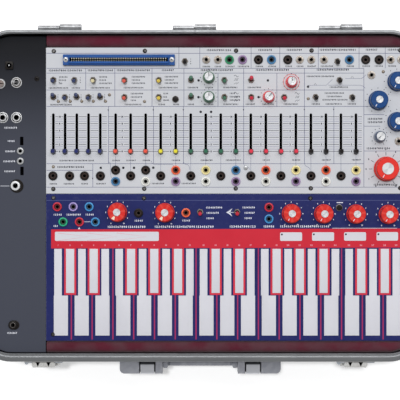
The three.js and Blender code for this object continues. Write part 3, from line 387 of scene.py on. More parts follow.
plainPlastics = {
    "greyPlastic": (60, 78, 110), "greySkirt": (150, 156, 168), "greenSkirt": (124, 146, 128),
    "crimsonSkirt": (232, 104, 104), "bluePlastic": (15, 63, 120), "navyPlastic": (36, 44, 100),
    "navyTip": (54, 63, 98), "orangeTip": (216, 92, 78), "wedgeCream": (236, 206, 180),
    "brownRing": (52, 37, 32), "greenTip": (62, 106, 84), "orangePlastic": (236, 100, 66),
    "vermilionPlastic": (238, 90, 70), "yellowPlastic": (236, 224, 60), "goldTip": (216, 190, 84),
    "creamPlastic": (226, 214, 170), "greenPlastic": (48, 108, 82), "crimsonPlastic": (226, 56, 78),
    "paleYellowPlastic": (240, 224, 158), "violetPlastic": (152, 126, 166),
    "whitePlastic": (236, 236, 230), "steelBluePlastic": (74, 126, 170), "jadePlastic": (56, 146, 104),
    "skyPlastic": (66, 140, 198), "lilacPlastic": (164, 148, 206), "emeraldPlastic": (44, 166, 122),
    "cherryPlastic": (196, 46, 66),
}
finishes.update({name: plastic(base) for name, base in plainPlastics.items()})
# darker copy of each plastic, painted shade for recesses and lower sides: 0.78 of a pale colour, half of a
# dark one
for name in [name for name in finishes if name.endswith("Plastic")]:
    base = finishes[name]["base"]
    share = 0.78 if min(base) > 150 else 0.5
    finishes[name.replace("Plastic", "PaintedShade")] = plastic(tuple(round(value * share) for value in base))
material = {name: makeFinish(name, look) for name, look in finishes.items()}
print("finishes are mixed")


# Mesh helpers: every piece is a bmesh filled by these, then placed once

def place(x=0.0, y=0.0, z=0.0, tiltX=0.0, tiltY=0.0, turn=0.0):
    spin = Matrix.Rotation(math.radians(turn), 4, "Z")
    tip = Matrix.Rotation(math.radians(tiltY), 4, "Y") @ Matrix.Rotation(math.radians(tiltX), 4, "X")
    return Matrix.Translation((x, y, z)) @ tip @ spin


def loft(bm, rings, index=0, caps=True):
    rows = [[bm.verts.new(point) for point in ring] for ring in rings]
    faces = []
    for low, high in zip(rows, rows[1:]):
        count = max(len(low), len(high))
        for i in range(count):
            j = (i + 1) % count
            corners = []
            for vert in (low[i % len(low)], low[j % len(low)], high[j % len(high)], high[i % len(high)]):
                if vert not in corners:
                    corners.append(vert)
            faces.append(bm.faces.new(corners))
    if caps:
        faces += [bm.faces.new(row) for row in (rows[0], rows[-1]) if len(row) > 2]
    for item in faces:
        item.material_index = index


# a turned shape about a place, its profile of radius and height in millimetres
def lathe(bm, spot, profile, sides=32, index=0, ripple=0.0):
    rings = []
    for radius, height in profile:
        ring = []
        for i in range(sides if radius else 1):
            angle = math.tau * i / sides
            reach = radius * (1 - ripple * (i % 2))
            point = Vector((reach * math.cos(angle), reach * math.sin(angle), height))
            ring.append(spot @ (point * mm))
        rings.append(ring)
    loft(bm, rings, index, caps=False)


def inset(outline, by):
    result = []
    for i, point in enumerate(outline):
        before = (point - outline[i - 1]).normalized()
        after = (outline[(i + 1) % len(outline)] - point).normalized()
        side = Vector((-before.y - after.y, before.x + after.x))
        scale = max(side.length_squared / 2, 0.2)
        result.append(point + side * (by / scale))
    return result


def prism(bm, outline, low, high, edge=0.0, index=0, spot=Matrix(), foot=False):
    outline = [Vector(point[:2]) for point in outline]
    steps = [(0.0, low), (0.0, high)]
    if edge:
        steps = [(0.0, low), (0.0, high - edge), (0.3 * edge, high - 0.3 * edge), (edge, high)]
        if foot:
            steps = [(edge, low), (0.3 * edge, low + 0.3 * edge), (0.0, low + edge)] + steps[1:]
    loft(bm, [[spot @ Vector((p.x, p.y, level)) for p in (inset(outline, by) if by else outline)]
              for by, level in steps], index)


def rectangle(width, depth, x=0.0, y=0.0):
    return [(x - width / 2, y - depth / 2), (x + width / 2, y - depth / 2),
            (x + width / 2, y + depth / 2), (x - width / 2, y + depth / 2)]


def roundedPlan(left, front, right, back, radius, steps=6):
    points = []
    for x, y, start in ((right - radius, front + radius, -90), (right - radius, back - radius, 0),
                        (left + radius, back - radius, 90), (left + radius, front + radius, 180)):
        for i in range(steps + 1):
            angle = math.radians(start + 90 * i / steps)
            points.append((x + radius * math.cos(angle), y + radius * math.sin(angle)))
    return points


def circle(x, y, radius, sides=24):
    angles = [math.tau * i / sides for i in range(sides)]
    return [(x + radius * mm * math.cos(angle), y + radius * mm * math.sin(angle)) for angle in angles]


def ribbon(bm, points, width, low, high, index=0):
    points = [Vector(point[:2]) for point in points]
    rings = []
    for i, point in enumerate(points):
        before = (point - points[i - 1]).normalized() if i else (points[1] - point).normalized()
        after = (points[i + 1] - point).normalized() if i + 1 < len(points) else before
        side = Vector((-before.y - after.y, before.x + after.x)).normalized() * (width / 2 * mm)
        rings.append([Vector((*(point + side * way), level))
                      for way, level in ((1, low), (-1, low), (-1, high), (1, high))])
    loft(bm, rings, index)


def addMesh(bm, mesh, spot, index=0):
    first = len(bm.verts)
    count = len(bm.faces)
    bm.from_mesh(mesh)
    bm.verts.ensure_lookup_table()
    bm.faces.ensure_lookup_table()
    for vert in bm.verts[first:]:
        vert.co = spot @ vert.co
    for item in bm.faces[count:]:
        item.material_index = index


def curveMesh(data):
    thing = bpy.data.objects.new("draft", data)
    bpy.context.scene.collection.objects.link(thing)
    shaped = thing.evaluated_get(bpy.context.evaluated_depsgraph_get())
    mesh = bpy.data.meshes.new_from_object(shaped)
    bpy.data.objects.remove(thing)
    return mesh


def cutPlate(bm, outline, holes):
    data = bpy.data.curves.new("plate", "CURVE")
    data.dimensions = "2D"
    data.fill_mode = "BOTH"
    data.extrude = (face - under) / 2
    for loop in [outline] + holes:
        spline = data.splines.new("POLY")
        spline.points.add(len(loop) - 1)
        for point, (x, y) in zip(spline.points, loop):
            point.co = (x, y, 0, 1)
        spline.use_cyclic_u = True
    mesh = curveMesh(data)
    addMesh(bm, mesh, place(z=(under + face) / 2))
    bmesh.ops.remove_doubles(bm, verts=bm.verts, dist=1e-6)
    bpy.data.meshes.remove(mesh)
    bpy.data.curves.remove(data)


glyphs = {}


def glyph(letter):
    if letter not in glyphs:
        data = bpy.data.curves.new("glyph", "FONT")
        data.body = letter
        data.resolution_u = 2
        data.extrude = 0.02
        data.offset = 0.06
        glyphs[letter] = curveMesh(data)
        bpy.data.curves.remove(data)
    mesh = glyphs[letter]
    return mesh, max((vert.co.x for vert in mesh.vertices), default=0.3)


def write(bm, text, x, y, size, index=0, level=face):
    grow = size * mm / 0.7
    wide = [glyph(letter)[1] + 0.12 for letter in text]
    start = -sum(wide) / 2
    grown = Matrix.Diagonal((grow, grow, 0.06 * mm / 0.02, 1))
    for letter, width in zip(text, wide):
        shift = Matrix.Translation((start * grow, -size / 2 * mm, 0))
        addMesh(bm, glyph(letter)[0], place(x, y, level + 0.05 * mm) @ shift @ grown, index)
        start += width


def numberRow(bm, spot, width, size, index=0):
    count = max(1, round(width / (1.08 * size * mm)))
    for i in range(count):
        at = spot[0] + (i + 0.5 - count / 2) * width / count
        write(bm, str((1 + i) % 10), at, spot[1], size, index)


def finishPiece(name, bm, looks, body="case", replaces=(), at=None, smooth=35, loose=False):
    bmesh.ops.recalc_face_normals(bm, faces=bm.faces)
    mesh = bpy.data.meshes.new(name)
    bm.to_mesh(mesh)
    bm.free()
    mesh.polygons.foreach_set("use_smooth", [True] * len(mesh.polygons))
    mesh.set_sharp_from_angle(angle=math.radians(smooth))
    piece = bpy.data.objects.new(name, mesh)
    for look in ([looks] if isinstance(looks, str) else looks):
        mesh.materials.append(material[look])
    if at is not None:
        piece.location = at
    bpy.context.scene.collection.objects.link(piece)
    if not loose:
        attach(piece, body)
        if replaces:
            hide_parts(*replaces)
    return piece


# Places on the panels, from shares of a panel or from pixels of the photograph

boardLow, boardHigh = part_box("keyboard_panel")
sideLow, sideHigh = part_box("side_panel")
under = face - 2 * mm
boardEdge = panelLow.y - 0.6 * mm  # back edge of the keyboard panel


def mainShare(along, up):
    return (panelLow.x + along * (panelHigh.x - panelLow.x), panelLow.y + up * (panelHigh.y - panelLow.y))


def boardShare(along, up):
    return (boardLow.x + along * (boardHigh.x - boardLow.x), boardLow.y + up * (boardEdge - boardLow.y))


def sideShare(along, up):
    return (sideLow.x + along * (sideHigh.x - sideLow.x), sideLow.y + up * (sideHigh.y - sideLow.y))


def onMain(px, py):
    return panelLow.x + (px - 45.8) * pixel, panelLow.y + (193.5 - py + (px - 46) * 0.0027) * pixel


def onBoard(px, py):
    return boardLow.x + (px - 46) * pixel, boardEdge - (py - 194 - (px - 46) * 0.0027) * pixel


def onSide(px, py):
    return sideHigh.x - (45.3 - px) * pixel, panelLow.y + (193.5 - py) * pixel


def box(bm, low, high, edge=0.0, index=0, spot=Matrix()):
    outline = [(low[0], low[1]), (high[0], low[1]), (high[0], high[1]), (low[0], high[1])]
    prism(bm, outline, low[2], high[2], edge, index, spot, edge > 0)


# a block about a place, its size and its levels in millimetres
def slab(bm, spot, width, depth, low, high, edge=0.0, index=0):
    box(bm, (-width / 2 * mm, -depth / 2 * mm, low * mm), (width / 2 * mm, depth / 2 * mm, high * mm),
        edge * mm, index, spot)


def screwHead(bm, x, y, level, radius, index=0, slotIndex=1, turn=20.0):
    spot = place(x, y, level, turn=turn)
    lathe(bm, spot, [(radius, -0.2), (radius, 0.5), (0.8 * radius, 1.1), (0.4 * radius, 1.35), (0, 1.4)],
          20, index)
    for way in (0, 90):
        slab(bm, spot @ place(turn=way), 1.1 * radius, 0.22 * radius, 0.9, 1.45, 0, slotIndex)


# Lower half of the carrying case

caseLook = {"corner": 40.2, "bottomRound": 9, "wall": 2, "lift": 3, "restRadius": 13, "restInset": 48,
            "beadDepth": 0.9, "beadLevels": (30, 42), "beadHalf": 2.4}
shellLow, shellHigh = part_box("case_shell")


def planRing(low, high, corner, by, level, byFront=None, steps=8):
    byFront = by if byFront is None else byFront
    points = roundedPlan(low.x + by, low.y + byFront, high.x - by, high.y - by, corner - by, steps)
    return [Vector((x, y, level)) for x, y in points]


def buildShell(look):
    bm = bmesh.new()
    corner, bend, wall, lift = (look[key] * mm for key in ("corner", "bottomRound", "wall", "lift"))
    sections = []
    for i in range(7):
        angle = math.radians(15 * i)
        sections.append((bend * (1 - math.sin(angle)), lift + bend * (1 - math.cos(angle))))
    for level in look["beadLevels"]:
        for step, depth in ((-1, 0), (-0.6, 0.55), (-0.2, 1), (0.2, 1), (0.6, 0.55), (1, 0)):
            sections.append((depth * look["beadDepth"] * mm, (level + step * look["beadHalf"]) * mm))
    sections += [(0, shellHigh.z - 0.3 * mm), (0.3 * mm, shellHigh.z), (wall - 0.3 * mm, shellHigh.z),
                 (wall, shellHigh.z - 0.3 * mm)]
    inner = bend - wall
    for i in range(7):
        angle = math.radians(90 - 15 * i)
        sections.append((wall + inner * (1 - math.sin(angle)),
                         lift + wall + inner * (1 - math.cos(angle))))
    loft(bm, [planRing(shellLow, shellHigh, corner, by, level) for by, level in sections])
    away = look["restInset"] * mm
    radius = look["restRadius"]
    for x in (shellLow.x + away, shellHigh.x - away):
        for y in (shellLow.y + away, shellHigh.y - away):
            lathe(bm, place(x, y), [
                (0, 1.4), (3, 1.4), (3.4, 0.4), (4, 0), (radius - 2.4, 0), (radius - 0.8, 0.5), (radius, 1.6),
                (radius, 3.4), (0, 3.4)], 40, 1)
            screwHead(bm, x, y, 1.4 * mm, 2.6, 2, 3)
    finishPiece("case_shell_pressed", bm, ["caseLacquer", "blackPlastic", "nickel", "shadowBlack"],
                       replaces=["case_shell"], smooth=40)


rimLook = {"corner": 41, "seam": (-6.3, 0.8), "profile": [
    (0, 0, 77), (0, 0, 93.2), (0.3, 0.35, 93.9), (1.2, 1.2, 94.35), (2.4, 2.6, 94.75), (3.0, 5.8, 95),
    (3.3, 6.6, 94.5), (3.6, 7.2, 94.0), (4.1, 8.4, 94.0), (4.3, 9.2, 94.5), (4.6, 9.8, 94.4),
    (4.8, 10.2, 93.6), (4.8, 10.2, 91.05), (0.78, 0.78, 91.05), (0.78, 0.78, 77)]}
rimLow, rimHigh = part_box("case_rim")


def buildRim(look):
    bm = bmesh.new()
    middle, width = (value * mm for value in look["seam"])
    steps = 12
    count = steps + 1
    lanes = []
    for by, byFront, level in look["profile"]:
        ring = planRing(rimLow, rimHigh, look["corner"] * mm, by * mm, level * mm, byFront * mm, steps)
        back = rimHigh.y - by * mm
        lanes.append([Vector((middle - width / 2, back, level * mm))] + ring[2 * count:] + ring[:2 * count]
                     + [Vector((middle + width / 2, back, level * mm))])
    loft(bm, [list(section) for section in zip(*lanes)])
    finishPiece("case_rim_drawn", bm, "rimAlloy", replaces=["case_rim"], smooth=30)


buildShell(caseLook)
buildRim(rimLook)
print("case and rim are made")


# Plush padding between the panels and the rim

paddingLook = {"crest": 85.4, "edge": 80.2, "foot": 52, "gap": 0.5, "step": 8, "sway": 0.5, "fill": 0.85}


def buildPadding(look):
    bm = bmesh.new()
    gap = look["gap"] * mm
    right, back, front = panelHigh.x + gap, panelHigh.y + gap, boardLow.y - gap
    left = panelLow.x + gap
    outRight, outBack, outFront = rimHigh.x - 4 * mm, rimHigh.y - 4 * mm, rimLow.y + 9.4 * mm
    radius = 37 * mm
    path = [(left, outBack)]
    for x, y, start in ((outRight - radius, outBack - radius, 90), (outRight - radius, outFront + radius, 0)):
        path += [(x + radius * math.cos(math.radians(start - 6 * i)),
                  y + radius * math.sin(math.radians(start - 6 * i))) for i in range(16)]
    path.append((left, outFront))
    fine = [Vector(path[0])]
    for end in path[1:]:
        start, end = fine[-1].copy(), Vector(end)
        pieces = max(1, round((end - start).length / (look["step"] * mm)))
        fine += [start.lerp(end, (i + 1) / pieces) for i in range(pieces)]
    rings = []
    for i, outer in enumerate(fine):
        inner = Vector((min(outer.x, right), max(min(outer.y, back), front)))
        wave = look["sway"] * (math.sin(i * 0.37) + math.sin(i * 0.83 + 1.3)) / 2
        ring = [Vector((*inner, look["foot"] * mm))]
        for j in range(13):
            t = j / 12
            crown = (1 - abs(2 * t - 1) ** 3.2) ** 0.8
            level = look["edge"] + (look["crest"] + wave - look["edge"]) * crown
            ring.append(Vector((*inner.lerp(outer, 0.02 + 0.96 * t), level * mm)))
        ring.append(Vector((*outer, look["foot"] * mm)))
        rings.append(ring)
    loft(bm, rings)
    piece = finishPiece("case_padding_plush", bm, "plush", replaces=["case_padding"],
                        smooth=60)


buildPadding(paddingLook)
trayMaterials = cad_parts["chassis_tray"].data.materials
trayMaterials.clear()
trayMaterials.append(material["sheetAlloy"])
print("padding is laid")


# Where the controls stand

sliderPlan = {"rest": 0.288, "closeStart": 0.0199, "closePitch": 0.03238, "wideStart": 0.1919,
              "widePitch": 0.04147, "travel": 42.5, "slotWidth": 3.3, "slotLength": 50.7}
closeXs = [mainShare(sliderPlan["closeStart"] + i * sliderPlan["closePitch"], 0)[0] for i in range(5)]
wideXs = [mainShare(sliderPlan["wideStart"] + i * sliderPlan["widePitch"], 0)[0] for i in range(17)]
sliderY = mainShare(0, sliderPlan["rest"])[1]
slotMiddle = sliderY + sliderPlan["travel"] / 2 * mm

toggleRows = {
    "toggles_top": (0.906, -1, {0.383: "blackPlastic", 0.804: "blackPlastic"}),
    "toggles_back_down": (0.778, -1, {0.02: "navyTip", 0.078: "navyTip", 0.13: "creamPlastic",
                                      0.216: "orangeTip", 0.311: "goldTip", 0.492: "greenTip",
                                      0.81: "blackPlastic"}),
    "toggles_back_up": (0.778, 1, {0.4: "greenTip", 0.566: "cherryPlastic"}),
    "toggles_front_down": (0.661, -1, {0.052: "navyTip", 0.117: "navyTip", 0.216: "orangeTip",
                                       0.311: "goldTip", 0.492: "greenTip", 0.566: "cherryPlastic",
                                       0.657: "cherryPlastic", 0.744: "blackPlastic", 0.845: "blackPlastic"}),
    "toggles_front_up": (0.661, 1, {0.02: "navyTip", 0.084: "navyTip", 0.149: "navyTip",
                                    0.4: "greenTip"}),
}
keyboardToggles = (0.877, -1, {0.425: "cherryPlastic", 0.527: "cherryPlastic"})
buttonPlaces = {"button_main": mainShare(0.357, 0.646), "button_keyboard": boardShare(0.809, 0.907)}

pairTop = ["blackPlastic", "blackPlastic", "orangePlastic", "paleYellowPlastic", "steelBluePlastic",
           "orangePlastic", "paleYellowPlastic", "orangePlastic", "paleYellowPlastic"]
pairFoot = ["steelBluePlastic", "whitePlastic", "violetPlastic", "whitePlastic", "violetPlastic",
            "whitePlastic", "violetPlastic", "whitePlastic", "violetPlastic"]
bananas = [(*mainShare(along, 0.917), look) for along, look in (
    (0.506, "jadePlastic"), (0.542, "violetPlastic"), (0.586, "blackPlastic"), (0.622, "steelBluePlastic"),
    (0.667, "blackPlastic"), (0.837, "steelBluePlastic"), (0.882, "blackPlastic"), (0.919, "blackPlastic"))]
bananas += [(*mainShare(along, 0.121), "blackPlastic") for along in (0.019, 0.065, 0.106, 0.15)]
bananas += [(x, mainShare(0, 0.121)[1], "blackPlastic") for x in wideXs[1::2]]
bananas += [(x, mainShare(0, 0.16)[1], look) for x, look in zip(wideXs[::2], pairTop)]
bananas += [(x, mainShare(0, 0.083)[1], look) for x, look in zip(wideXs[::2], pairFoot)]
boardBananas = [(*boardShare(along, up), look) for along, up, look in (
    (0.031, 0.913, "cherryPlastic"), (0.075, 0.913, "lilacPlastic"), (0.119, 0.913, "skyPlastic"),
    (0.047, 0.81, "emeraldPlastic"), (0.092, 0.81, "cherryPlastic"), (0.136, 0.81, "skyPlastic"),
    (0.255, 0.87, "blackPlastic"), (0.386, 0.872, "orangePlastic"), (0.615, 0.909, "cherryPlastic"),
    (0.615, 0.83, "skyPlastic"))]
minis = [mainShare(along, 0.917) for along in (0.442, 0.474, 0.7, 0.732, 0.767, 0.951, 0.98)]
minis += [mainShare(0.898, 0.812), mainShare(0.973, 0.358)]

smallShape = {"skirt": 7.3, "skirtHeight": 2.4, "body": 6.4, "height": 13, "cap": 5.25, "capLift": 0.6,
              "shaft": 2, "shaftFoot": -12.7}
largeShape = {"skirt": 11.8, "skirtHeight": 3, "body": 11.2, "height": 14, "cap": 4.4, "capLift": 0.9,
              "shaft": 3, "shaftFoot": -6.5}
masterShape = {**largeShape, "skirt": 15.1, "skirtHeight": 4, "body": 14.3, "height": 16, "cap": 7.1}
knobs = {
    "knob_green_back": (mainShare(0.449, 0.795), smallShape, "greenPlastic", "green_plastic", 92),
    "knob_green_front": (mainShare(0.449, 0.661), smallShape, "greenPlastic", "green_plastic", 88),
    "knob_crimson_back": (mainShare(0.677, 0.764), smallShape, "crimsonPlastic", "crimson_plastic", 90),
    "knob_crimson_front": (mainShare(0.614, 0.661), smallShape, "crimsonPlastic", "crimson_plastic", 50),
    "knob_grey": (mainShare(0.92, 0.389), smallShape, "greyPlastic", "grey_plastic", 225),
    "knob_blue_back": (mainShare(0.968, 0.768), largeShape, "bluePlastic", "blue_plastic", 240),
    "knob_blue_middle": (mainShare(0.916, 0.638), largeShape, "bluePlastic", "blue_plastic", 240),
    "knob_blue_front": (mainShare(0.968, 0.492), largeShape, "bluePlastic", "blue_plastic", 240),
    "knob_master": (mainShare(0.938, 0.168), masterShape, "redPlastic", "red_plastic", 240),
}
for i, (along, up) in enumerate([(0.197, 0.875), (0.328, 0.873), (0.677, 0.866), (0.766, 0.865),
                                 (0.855, 0.863), (0.944, 0.861)]):
    knobs[f"knob_keyboard_{i + 1}"] = (boardShare(along, up), largeShape, "rayedPlastic", "red_plastic", 240)
mainKnobs = [item for name, item in knobs.items() if "keyboard" not in name]
boardKnobSpots = [item[0] for name, item in knobs.items() if "keyboard" in name]


# White panel: a plate with its slots and holes

holeLook = {"banana": 5.2, "mini": 4.4, "toggle": 3.2, "button": 2.3, "largeShaft": 3.45}


def slotLoop(x, y, width, length):
    half, reach = width / 2 * mm, (length - width) / 2 * mm
    loop = []
    for way in (1, -1):
        for degrees in range(0, 181, 30):
            angle = math.radians(degrees)
            loop.append((x + way * half * math.cos(angle), y + way * (reach + half * math.sin(angle))))
    return loop


def buildMainPanel():
    bm = bmesh.new()
    holes = [slotLoop(x, slotMiddle, sliderPlan["slotWidth"], sliderPlan["slotLength"])
             for x in closeXs + wideXs]
    holes += [circle(x, y, holeLook["banana"]) for x, y, _ in bananas]
    holes += [circle(x, y, holeLook["mini"]) for x, y in minis]
    for spot, shape, *_ in mainKnobs:
        holes.append(circle(*spot, shape["shaft"] + 0.45))
    for up, _, levers in toggleRows.values():
        holes += [circle(*mainShare(along, up), holeLook["toggle"]) for along in levers]
    holes.append(circle(*buttonPlaces["button_main"], holeLook["button"]))
    cutPlate(bm, roundedPlan(panelLow.x, panelLow.y, panelHigh.x, panelHigh.y, 0.8 * mm, 3), holes)
    finishPiece("main_panel_plate", bm, "whitePaint", replaces=["main_panel"])


buildMainPanel()
print("white panel is cut")


# Blue panel: a board with a red band and 29 touch plates

keyLook = {"margin": 5.4, "naturals": 17, "gap": 8, "neck": 9.4, "sharpWidth": 10.1, "frontShare": 0.035,
           "backShare": 0.626, "wideShare": 0.308, "sharpShare": 0.325, "lift": 1, "edge": 0.35,
           "sharps": (1, 3, 6, 8, 10), "outline": 2.3, "line": 1.5, "lineShare": 0.008, "count": 29,
           "centres": (0.0517, 0.1348, 0.2158, 0.2967, 0.3757, 0.4718, 0.5535, 0.6325, 0.7128, 0.7938,
                       0.8762, 0.9572)}


def keyPlaces(look):
    left = boardLow.x + look["margin"] * mm
    pitch = (boardHigh.x - boardLow.x - 2 * look["margin"] * mm) / look["naturals"]
    natural = 0
    for key in range(look["count"]):
        centre = left + (key // 12 + look["centres"][key % 12]) * 7 * pitch
        sharp = key % 12 in look["sharps"]
        keyLeft = None if sharp else left + natural * pitch + look["gap"] / 2 * mm
        natural += 0 if sharp else 1
        yield key, centre, sharp, keyLeft, pitch


def buildKeyboardPanel():
    bm = bmesh.new()
    holes = [circle(x, y, holeLook["banana"]) for x, y, _ in boardBananas]
    holes += [circle(*spot, holeLook["largeShaft"]) for spot in boardKnobSpots]
    up, _, levers = keyboardToggles
    holes += [circle(*boardShare(along, up), holeLook["toggle"]) for along in levers]
    holes.append(circle(*buttonPlaces["button_keyboard"], holeLook["button"]))
    cutPlate(bm, roundedPlan(boardLow.x, boardLow.y, boardHigh.x, boardEdge, 0.8 * mm, 3), holes)
    for spot in boardKnobSpots:
        slab(bm, place(*spot, under), 14, 14, -8, -0.2, 0.8, 1)
    finishPiece("keyboard_panel_board", bm, ["blueBoard", "darkNickel"],
                replaces=["keyboard_panel"])


def buildTouchPlates(look):
    plates, prints = bmesh.new(), bmesh.new()
    border, lineWidth, neck, half = (look[key] / 2 * mm for key in ("outline", "line", "neck", "sharpWidth"))
    front, back, wide, sharpFront = (
        boardShare(0, look[key])[1] for key in ("frontShare", "backShare", "wideShare", "sharpShare"))
    band = onBoard(46, 248.3)[1]
    foot, ink = face - 0.02 * mm, face + 0.06 * mm
    for _, centre, sharp, left, pitch in keyPlaces(look):
        if sharp:
            outline = rectangle(2 * half, back - sharpFront, centre, (back + sharpFront) / 2)
            reach = half + 2 * border
            box(prints, (centre - reach, sharpFront - 2 * border, foot), (centre + reach, band, ink))
        else:
            right = left + pitch - look["gap"] * mm
            outline = [(left, front), (right, front), (right, wide), (centre + neck, wide),
                       (centre + neck, back), (centre - neck, back), (centre - neck, wide), (left, wide)]
        prism(plates, outline, face + 0.02 * mm, face + look["lift"] * mm, look["edge"] * mm)
    lineFoot = boardShare(0, look["lineShare"])[1]
    for i in range(1, look["naturals"]):
        x = boardLow.x + look["margin"] * mm + i * pitch
        top = band if i % 7 in (0, 3) else sharpFront - 2 * border
        box(prints, (x - lineWidth, lineFoot, foot), (x + lineWidth, top, ink - 0.01 * mm), 0, 1)
    finishPiece("touch_plates", plates, "platePaint")
    finishPiece("touch_plate_outlines", prints, ["edgeRed", "lineRed"])


# the band in pixels of the photograph: its ends, then its white boxes
bandLook = {"ends": (51, 404, 229.5, 248.5), "numbers": 245.2, "chevrons": (88.3, 117, 146.7),
            "boxes": ((54.8, 158.7, 231.8, 241.3), (280, 302, 233, 241.6), (312, 334, 233, 241.6),
                      (344, 366, 233, 241.6), (376.5, 398, 233, 241.6))}


def buildBand(look):
    band, boxes = bmesh.new(), bmesh.new()
    left, right, top, foot = look["ends"]
    corners = [onBoard(left, foot), onBoard(right, foot), onBoard(right, top), onBoard(left, top)]
    low = face - 0.02 * mm
    prism(band, corners, low, face + 0.07 * mm)
    for key, centre, *_ in keyPlaces(keyLook):
        write(boxes, str(key + 1), centre, onBoard(46, look["numbers"])[1], 1.8, 2, face + 0.08 * mm)
    for x0, x1, y0, y1 in look["boxes"]:
        left, high = onBoard(x0, y0)
        right, bottom = onBoard(x1, y1)
        prism(boxes, roundedPlan(left, bottom, right, high, 1.6 * mm, 4), low, face + 0.12 * mm)
        if x0 > 200:
            dot = place(left + 2.2 * mm, high - 2.6 * mm, face + 0.1 * mm)
            lathe(boxes, dot, [(1.15, 0), (1.15, 0.06), (0, 0.07)], 12, 1)
    for x in look["chevrons"]:
        ribbon(boxes, [onBoard(x - 30, 233.2), onBoard(x, 236.9), onBoard(x - 30, 240.6)], 0.45,
               face + 0.1 * mm, face + 0.16 * mm, 2)
    finishPiece("keyboard_band", band, "redPaint")
    finishPiece("keyboard_band_boxes", boxes, ["platePaint", "blackInk", "chevronInk"])


buildKeyboardPanel()
buildTouchPlates(keyLook)
buildBand(bandLook)
print("blue panel and touch plates are made")


# Dark side panel with its inlet, fuse holder, power switch and sockets

sideLook = {"corner": 34.2, "phoneHole": 4, "dataHole": 2.3, "groundHole": 2.6}
phoneJacks = [sideShare(*spot) for spot in ((0.307, 0.743), (0.529, 0.743), (0.513, 0.527))]
dataJacks = [sideShare(*spot) for spot in ((0.592, 0.637), (0.592, 0.605))]
groundJack = sideShare(0.472, 0.086)
powerSwitch = sideShare(0.529, 0.854)


def buildSidePanel(look):
    bm = bmesh.new()
    corner = look["corner"] * mm
    outline = [(sideHigh.x, sideLow.y), (sideHigh.x, sideHigh.y)]
    for y, start in ((sideHigh.y - corner, 90), (sideLow.y + corner, 180)):
        outline += [(sideLow.x + corner + corner * math.cos(math.radians(start + 7.5 * i)),
                     y + corner * math.sin(math.radians(start + 7.5 * i))) for i in range(13)]
    holes = [circle(*spot, look["phoneHole"]) for spot in phoneJacks]
    holes += [circle(*spot, look["dataHole"]) for spot in dataJacks]
    holes += [circle(*groundJack, look["groundHole"]), circle(*powerSwitch, holeLook["toggle"])]
    cutPlate(bm, outline, holes)
    finishPiece("side_panel_plate", bm, "charcoalPaint", replaces=["side_panel"])


def hexNut(bm, spot, radius, height, bore, index=0):
    lathe(bm, spot, [(radius * 0.93, 0), (radius, 0.15 * height), (radius, 0.8 * height),
                     (radius * 0.9, height), (bore + 0.4, height)], 6, index)


def barrelSocket(bm, spot, radius, bore, height, depth, index=0, dark=1):
    lathe(bm, spot, [(radius, -0.2), (radius, height * 0.6), (radius - 0.4, height * 0.9),
                     (radius - 0.8, height), (bore + 0.5, height), (bore, height - 0.5),
                      (bore, -0.5)], 32, index)
    lathe(bm, spot, [(bore, -0.5), (bore, -depth), (0, -depth)], 24, dark)


